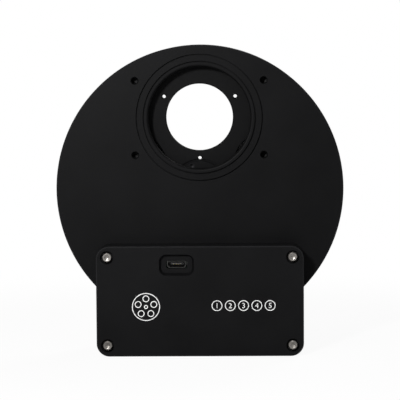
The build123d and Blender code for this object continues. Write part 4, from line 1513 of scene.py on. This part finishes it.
class Drive:
    """Geared motor in the box and its pinion in mesh with the carousel."""

    def __init__(self, shop: Workshop, sizes: DriveSizes, wheel: GearSizes) -> None:
        """Work out the pinion's place in mesh with the carousel's rim."""
        self.shop = shop
        self.sizes = sizes
        lay = shop.layout
        line = math.atan2(lay.pinion[1] - lay.wheel[1], lay.pinion[0] - lay.wheel[0])
        lag = (line - math.pi / 2) % (math.tau / wheel.teeth)
        gap = line + math.pi + lag * wheel.teeth / sizes.gear.teeth
        self.phase = gap + math.pi / sizes.gear.teeth
        self.motor = (lay.pinion[0], lay.pinion[1] + sizes.can_offset)

    def build_pinion(self) -> bpy.types.Object:
        """Cut the pinion with its hub, bore and tapped hole."""
        s, lay = self.sizes, self.shop.layout
        front, back = lay.carousel_front, lay.carousel_back
        gear = prism("drive_pinion", s.gear.outline(lay.pinion, self.phase), front, back)
        end = back + s.hub_length
        hub = [(0, back - CLEAR), (s.hub, back - CLEAR), (s.hub, end - 0.2 * MM), (s.hub - 0.2 * MM, end),
               (0, end)]
        combine(gear, [lathe("hub", hub, lay.pinion, 96)], "UNION")
        bore = disc("bore", lay.pinion, s.shaft + s.fit, front - CLEAR, end + CLEAR, 64)
        tapped = disc("tapped", (0, 0), s.set_screw + s.fit, 0, s.hub + CLEAR, HOLE_SEGMENTS)
        place = Vector((lay.pinion[0], back + s.hub_length / 2, lay.pinion[1]))
        tapped.data.transform(Matrix.Translation(place) @ Matrix.Rotation(math.radians(-90), 4, "X"))
        return smooth(combine(gear, [bore, tapped], "DIFFERENCE"))

    def build_can(self) -> bpy.types.Object:
        """Turn the motor's can with a rolled front edge and a crimped seam."""
        s = self.sizes
        low, high = extent("motor_can")
        front, back = low.y, high.y
        steps = 8
        angles = [math.pi / 2 * n / steps for n in range(steps + 1)]
        edge = [(s.can - s.edge * (1 - math.sin(a)), front + s.edge * (1 - math.cos(a))) for a in angles]
        seam = back - 2.2 * MM
        groove = [(s.can, seam - 0.3 * MM), (s.can - 0.25 * MM, seam), (s.can, seam + 0.3 * MM)]
        boss = [(0, front + 0.35 * MM), (3.2 * MM, front + 0.35 * MM), (3.6 * MM, front)]
        can = lathe("motor_shell", [*boss, *edge, *groove, (s.can, back), (0, back)], self.motor)
        lay = self.shop.layout
        bore = disc("bore", lay.pinion, s.shaft + s.running_fit, back - s.sunk, back + CLEAR, 64)
        return smooth(combine(can, [bore], "DIFFERENCE"))

    def build_shaft(self) -> bpy.types.Object:
        """Turn the motor's shaft."""
        low, high = extent("motor_shaft")
        s, e = self.sizes, 0.18 * MM
        profile = [(0, low.y), (s.shaft - e, low.y), (s.shaft, low.y + e), (s.shaft, high.y - e),
                   (s.shaft - e, high.y), (0, high.y)]
        return smooth(lathe("pinion_shaft", profile, self.shop.layout.pinion, 64))

    def build_bushing(self) -> bpy.types.Object:
        """Turn the bushing in the partition."""
        low, high = extent("motor_bushing")
        s, e = self.sizes, 0.15 * MM
        bore = s.shaft + s.running_fit
        profile = [(bore, low.y), (s.bushing, low.y), (s.bushing, high.y - e), (s.bushing - e, high.y),
                   (bore + e, high.y), (bore, high.y - e)]
        return smooth(lathe("shaft_bushing", profile, self.shop.layout.pinion, 96))

    def build(self) -> None:
        """Build and hand over the drive."""
        shop = self.shop
        shop.deliver(self.build_pinion(), "pinion", "pinion_brass", "pinion")
        shop.deliver(self.build_shaft(), "pinion", "bearing_steel", "motor_shaft")
        shop.deliver(self.build_can(), "housing", "plated_steel", "motor_can")
        shop.deliver(self.build_bushing(), "housing", "pinion_brass", "motor_bushing")


# ---- USB socket and board ------------------------------------------------------------------------
@dataclass(frozen=True)
class SocketSizes:
    """Sizes of the USB socket and the recess round it."""

    x: float = -9.3 * MM
    drop: float = 7.5 * MM
    recess: tuple[float, float] = (14.0 * MM, 8.5 * MM)
    recess_corner: float = 3.0 * MM
    recess_depth: float = 2.4 * MM
    draft: float = 1.0 * MM
    window: tuple[float, float] = (8.4 * MM, 3.2 * MM)
    window_corner: float = 0.8 * MM
    width: float = 7.2 * MM
    height: float = 2.5 * MM
    sheet: float = 0.3 * MM
    flare: float = 0.25 * MM
    cut: float = 0.65 * MM
    tongue_lift: float = 0.1
    tongue_height: float = 0.65 * MM
    contacts: int = 5
    contact_pitch: float = 0.65 * MM
    contact_width: float = 0.35 * MM

    def centre(self, layout: Layout) -> Spot:
        """Middle of the socket."""
        return (self.x, layout.box_top - self.drop)


class Socket:
    """Drawn shell of a small USB socket with its tongue and contacts."""

    def __init__(self, shop: Workshop, sizes: SocketSizes) -> None:
        """Find the socket's ends in the frame."""
        self.shop = shop
        self.sizes = sizes
        self.centre = sizes.centre(shop.layout)
        low, high = extent("usb_shell")
        self.front, self.back = low.y, high.y

    def outline(self, grow: float) -> list[Point2]:
        """Shell's outline: round top corners and slanted lower ones, grown by a distance."""
        s = self.sizes
        half, top = s.width / 2 + grow, s.height / 2 + grow
        x, z = self.centre
        bend = 0.3 * MM + max(0.0, grow)
        steps = 5
        points = []
        for side, start in ((1, 0), (-1, 90)):
            for n in range(steps + 1):
                angle = math.radians(start + 90 * n / steps)
                across = x + side * (half - bend) + bend * math.cos(angle)
                points.append((across, z + top - bend + bend * math.sin(angle)))
        slant = s.cut
        points += [(x - half, z - top + slant), (x - half + slant, z - top)]
        points += [(x + half - slant, z - top), (x + half, z - top + slant)]
        return points

    def build_shell(self) -> bpy.types.Object:
        """Bend the shell: a hollow outline whose mouth flares outwards."""
        s = self.sizes
        stations = [
            (self.back, 0.0), (self.front + 2 * s.sheet, 0.0), (self.front + s.sheet, s.flare * 0.2),
            (self.front, s.flare / 2), (self.front, s.flare / 2 - s.sheet * 0.8),
            (self.front + s.sheet, -s.sheet), (self.back, -s.sheet),
        ]
        shape = bmesh.new()
        rings = [[shape.verts.new((x, depth, z)) for x, z in self.outline(grow)] for depth, grow in stations]
        for near, far in zip(rings, rings[1:] + rings[:1]):
            count = len(near)
            for n in range(count):
                m = (n + 1) % count
                shape.faces.new((near[n], near[m], far[m], far[n]))
        return smooth(from_bmesh("usb_sheet_shell", shape))

    def build_tongue(self) -> bpy.types.Object:
        """Mould the base and the tongue."""
        s = self.sizes
        base = prism("usb_moulding", self.outline(-s.sheet - 0.01 * MM), self.back - s.height / 2, self.back)
        low, _ = extent("usb_insulator")
        middle = (self.centre[0], self.centre[1] + s.height * s.tongue_lift)
        width = s.width - 2 * s.sheet - 2.2 * MM
        outline = rounded(middle, width, s.tongue_height, 0.15 * MM, 4)
        tongue = prism("tongue", outline, low.y, self.back - s.height / 4, 0.12 * MM)
        return smooth(combine(base, [tongue], "UNION"))

    def build(self) -> None:
        """Build and hand over shell, moulding and contacts."""
        s, shop = self.sizes, self.shop
        shop.deliver(self.build_shell(), "housing", "nickel_shell", "usb_shell")
        shop.deliver(self.build_tongue(), "housing", "black_plastic", "usb_insulator")
        low, high = extent("usb_contacts")
        blade = rounded((0, 0), s.contact_width, high.z - low.z, 0.03 * MM, 2)
        template = prism("blade", blade, 0, high.y - low.y, 0.03 * MM)
        middle = (low.z + high.z) / 2
        start = self.centre[0] - s.contact_pitch * (s.contacts - 1) / 2
        spots = [Vector((start + s.contact_pitch * n, low.y, middle)) for n in range(s.contacts)]
        gold = shop.wardrobe.finish("gold_contacts")
        contacts = shop.scatter.place("usb_contact_row", template, spots, gold)
        shop.deliver(contacts, "housing", "gold_contacts", "usb_contacts")


# ---- Marking on the lid --------------------------------------------------------------------------
INK_HEIGHT = 0.01 * MM


@dataclass(frozen=True)
class MarkingSizes:
    """Sizes and places of the generic marking on the lid."""

    emblem: Spot = (-21.6 * MM, -75.0 * MM)
    emblem_radius: float = 5.6 * MM
    emblem_circle: float = 3.3 * MM
    emblem_hole: float = 1.35 * MM
    line: float = 0.32 * MM
    positions: Spot = (17.4 * MM, -74.6 * MM)
    position_pitch: float = 5.3 * MM
    position_radius: float = 2.15 * MM
    digit: float = 3.0 * MM


class Marking:
    """White print: a line drawing of the wheel, and one numbered ring for each filter seat."""

    def __init__(self, shop: Workshop, sizes: MarkingSizes, seats: int) -> None:
        """Keep the sizes and the number of seats."""
        self.shop = shop
        self.sizes = sizes
        self.seats = seats
        self.front = shop.layout.lid_front
        self.back = self.front + 2 * INK_HEIGHT

    def ring(self, centre: Spot, radius: float) -> bpy.types.Object:
        """Printed circle line."""
        inner = radius - self.sizes.line
        profile = [(inner, self.front), (radius, self.front), (radius, self.back), (inner, self.back)]
        return lathe("printed_ring", profile, centre, 96)

    def digit(self, text: str, centre: Spot) -> bpy.types.Object:
        """Printed digit, centred on a spot."""
        curve = bpy.data.curves.new("digit", "FONT")
        curve.body = text
        curve.size = self.sizes.digit
        curve.extrude = INK_HEIGHT
        curve.align_x = "CENTER"
        curve.align_y = "CENTER"
        thing = bpy.data.objects.new("digit", curve)
        bpy.context.scene.collection.objects.link(thing)
        graph = bpy.context.evaluated_depsgraph_get()
        mesh = bpy.data.meshes.new_from_object(thing.evaluated_get(graph))
        bpy.data.objects.remove(thing)
        bpy.data.curves.remove(curve)
        mesh.transform(Matrix.Rotation(math.radians(90), 4, "X"))
        xs = [v.co.x for v in mesh.vertices]
        zs = [v.co.z for v in mesh.vertices]
        across, up = (centre[0] - (min(xs) + max(xs)) / 2, centre[1] - (min(zs) + max(zs)) / 2)
        shift = (across, self.front + INK_HEIGHT, up)
        mesh.transform(Matrix.Translation(shift))
        return new_object("digit", mesh)

    def build(self) -> None:
        """Build and hand over the marking."""
        s = self.sizes
        marks = [self.ring(s.emblem, s.emblem_radius), self.ring(s.emblem, s.line * 2.5)]
        for n in range(self.seats):
            spot = polar(s.emblem, s.emblem_circle, 90 + 360 / self.seats * n)
            marks.append(self.ring(spot, s.emblem_hole))
        start = s.positions[0] - s.position_pitch * (self.seats - 1) / 2
        for n in range(self.seats):
            spot = (start + s.position_pitch * n, s.positions[1])
            marks += [self.ring(spot, s.position_radius), self.digit(str(n + 1), spot)]
        shape = bmesh.new()
        for mark in marks:
            shape.from_mesh(mark.data)
            bpy.data.objects.remove(mark)
        thing = from_bmesh("lid_marking", shape)
        self.shop.deliver(thing, "housing", "white_plastic", finish=INK.material(self.shop.layout))


# ---- Studio --------------------------------------------------------------------------------------
@dataclass(frozen=True)
class CameraPlace:
    """Where the camera stands and how it is turned, from a fit to the object's known sizes."""

    place: tuple[float, float, float] = (14.46 * MM, -800.0 * MM, 34.12 * MM)
    yaw: float = -0.0180
    pitch: float = -0.0840
    roll: float = -0.0067
    focal: float = 1987.5
    picture: float = 400.0
    sensor: float = 36.0


@dataclass(frozen=True)
class Lamp:
    """Area lamp that looks at a point."""

    name: str
    place: tuple[float, float, float]
    power: float
    size: float
    aim: tuple[float, float, float] = (0.0, 0.0, -0.03)

    def build(self) -> bpy.types.Object:
        """Hang the lamp."""
        data = bpy.data.lights.new(self.name, "AREA")
        data.shape = "DISK"
        data.size = self.size
        data.energy = self.power
        lamp = bpy.data.objects.new(self.name, data)
        lamp.location = self.place
        aim = Vector(self.aim) - Vector(self.place)
        lamp.rotation_euler = aim.to_track_quat("-Z", "Y").to_euler()
        lamp.visible_camera = False
        bpy.context.scene.collection.objects.link(lamp)
        return lamp


LAMPS = (
    Lamp("key", (-0.115, -0.37, 0.105), 1.5, 0.05),
    Lamp("top", (-0.10, -0.20, 0.60), 0.4, 0.22),
    Lamp("back", (0.30, 0.55, 0.40), 2.4, 0.30),
)


class Studio:
    """White studio: camera, lamps, world and floor.

    The floor glows white by WHITE_SHARE where the camera sees it, so that only a soft shadow is left near
    the object, and it is plain white farther off than SHADOW_REACH.
    """

    WHITE_SHARE = 0.93
    SHADOW_REACH = 0.30

    def __init__(self, layout: Layout, camera: CameraPlace, lamps: Sequence[Lamp]) -> None:
        """Keep what the studio is made of."""
        self.layout = layout
        self.camera = camera
        self.lamps = lamps

    def build_camera(self) -> None:
        """Stand the camera where it was fitted and make it the scene's."""
        c = self.camera
        level = math.cos(c.pitch)
        forward = Vector((math.sin(c.yaw) * level, math.cos(c.yaw) * level, math.sin(c.pitch)))
        right = Vector((math.cos(c.yaw), -math.sin(c.yaw), 0))
        up = right.cross(forward)
        across = math.cos(c.roll) * right + math.sin(c.roll) * up
        upright = -math.sin(c.roll) * right + math.cos(c.roll) * up
        data = bpy.data.cameras.new("camera")
        data.sensor_width = c.sensor
        data.lens = c.focal / c.picture * c.sensor
        data.clip_start = 0.01
        data.clip_end = 20
        camera = bpy.data.objects.new("camera", data)
        turn = Matrix((across, upright, -forward)).transposed().to_4x4()
        camera.matrix_world = Matrix.Translation(c.place) @ turn
        bpy.context.scene.collection.objects.link(camera)
        bpy.context.scene.camera = camera

    def build_world(self) -> None:
        """Plain grey light, seen as white by the camera, in reflections and through glass."""
        world = bpy.data.worlds.new("studio")
        world.use_nodes = True
        nodes, links = world.node_tree.nodes, world.node_tree.links
        nodes.clear()
        path = nodes.new("ShaderNodeLightPath")
        seen = nodes.new("ShaderNodeMath")
        seen.operation = "MAXIMUM"
        mirrored = nodes.new("ShaderNodeMath")
        mirrored.operation = "MAXIMUM"
        links.new(path.outputs["Is Glossy Ray"], mirrored.inputs[0])
        links.new(path.outputs["Is Transmission Ray"], mirrored.inputs[1])
        links.new(path.outputs["Is Camera Ray"], seen.inputs[0])
        links.new(mirrored.outputs["Value"], seen.inputs[1])
        white = nodes.new("ShaderNodeBackground")
        white.inputs["Color"].default_value = (1, 1, 1, 1)
        plain = nodes.new("ShaderNodeBackground")
        plain.inputs["Color"].default_value = (0.10, 0.10, 0.10, 1)
        mix = nodes.new("ShaderNodeMixShader")
        output = nodes.new("ShaderNodeOutputWorld")
        links.new(seen.outputs["Value"], mix.inputs["Fac"])
        links.new(plain.outputs["Background"], mix.inputs[1])
        links.new(white.outputs["Background"], mix.inputs[2])
        links.new(mix.outputs["Shader"], output.inputs["Surface"])
        bpy.context.scene.world = world

    def build_floor(self) -> None:
        """White floor under the box."""
        size = 1.2
        mesh = bpy.data.meshes.new("floor")
        z = self.layout.box_bottom
        corners = [(-size, -size, z), (size, -size, z), (size, size, z), (-size, size, z)]
        mesh.from_pydata(corners, [], [(0, 1, 2, 3)])
        floor = new_object("floor", mesh)
        tree = ShaderTree("studio_floor")
        shader = tree.add("ShaderNodeBsdfDiffuse")
        shader.inputs["Color"].default_value = (0.95, 0.95, 0.95, 1)
        white = tree.add("ShaderNodeEmission")
        white.inputs["Color"].default_value = (1, 1, 1, 1)
        reach = tree.add("ShaderNodeVectorMath", operation="LENGTH")
        tree.link(tree.coordinates.outputs["Object"], reach.inputs[0])
        fade = tree.add("ShaderNodeMapRange")
        fade.interpolation_type = "SMOOTHSTEP"
        fade.inputs["From Min"].default_value = self.SHADOW_REACH / 2
        fade.inputs["From Max"].default_value = self.SHADOW_REACH
        fade.inputs["To Min"].default_value = self.WHITE_SHARE
        tree.link(reach.outputs["Value"], fade.inputs["Value"])
        path = tree.add("ShaderNodeLightPath")
        mix = tree.add("ShaderNodeMixShader")
        share = tree.add("ShaderNodeMath", operation="MULTIPLY")
        tree.link(path.outputs["Is Camera Ray"], share.inputs[0])
        tree.link(fade.outputs["Result"], share.inputs[1])
        tree.link(share.outputs["Value"], mix.inputs["Fac"])
        tree.link(shader.outputs["BSDF"], mix.inputs[1])
        tree.link(white.outputs["Emission"], mix.inputs[2])
        tree.link(mix.outputs["Shader"], tree.output.inputs["Surface"])
        mesh.materials.append(tree.material)

    def build(self) -> None:
        """Set up the studio."""
        self.build_camera()
        self.build_world()
        self.build_floor()
        for lamp in self.lamps:
            lamp.build()
        bpy.context.scene.view_settings.view_transform = "Standard"


# ---- The whole object ----------------------------------------------------------------------------
class FilterWheel:
    """The assembled filter wheel."""

    def __init__(self, frame: dict) -> None:
        """Set up the sub-assemblies.
        """
        self.frame = frame
        layout = Layout.from_frame(frame)
        self.shop = Workshop(layout)
        port = PortSizes()
        socket = SocketSizes()
        carousel = CarouselSizes()
        self.parts = [
            Housing(self.shop, HousingSizes(), port, socket),
            Port(self.shop, port, "front", layout.drum_front, 1),
            Port(self.shop, port, "rear", layout.cover_back, -1),
            Carousel(self.shop, carousel),
            Bearing(self.shop, BearingSizes()),
            Drive(self.shop, DriveSizes(), carousel.gear),
            Socket(self.shop, socket),
            Marking(self.shop, MarkingSizes(), carousel.seats),
        ]
        self.studio = Studio(layout, CameraPlace(), LAMPS)

    def build(self) -> None:
        """Dress the CAD nodes, build every sub-assembly and set up the studio."""
        self.shop.wardrobe.dress_nodes(self.frame)
        for part in self.parts:
            part.build()
            LOG.info("%s ready", type(part).__name__)
        self.studio.build()
        LOG.info("%d pieces in all", self.shop.count)


def main() -> None:
    """Build the object."""
    logging.basicConfig(level=logging.INFO, format="%(name)s: %(message)s")
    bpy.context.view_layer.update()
    FilterWheel(frame).build()


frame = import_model()

if __name__ == "__main__":
    main()
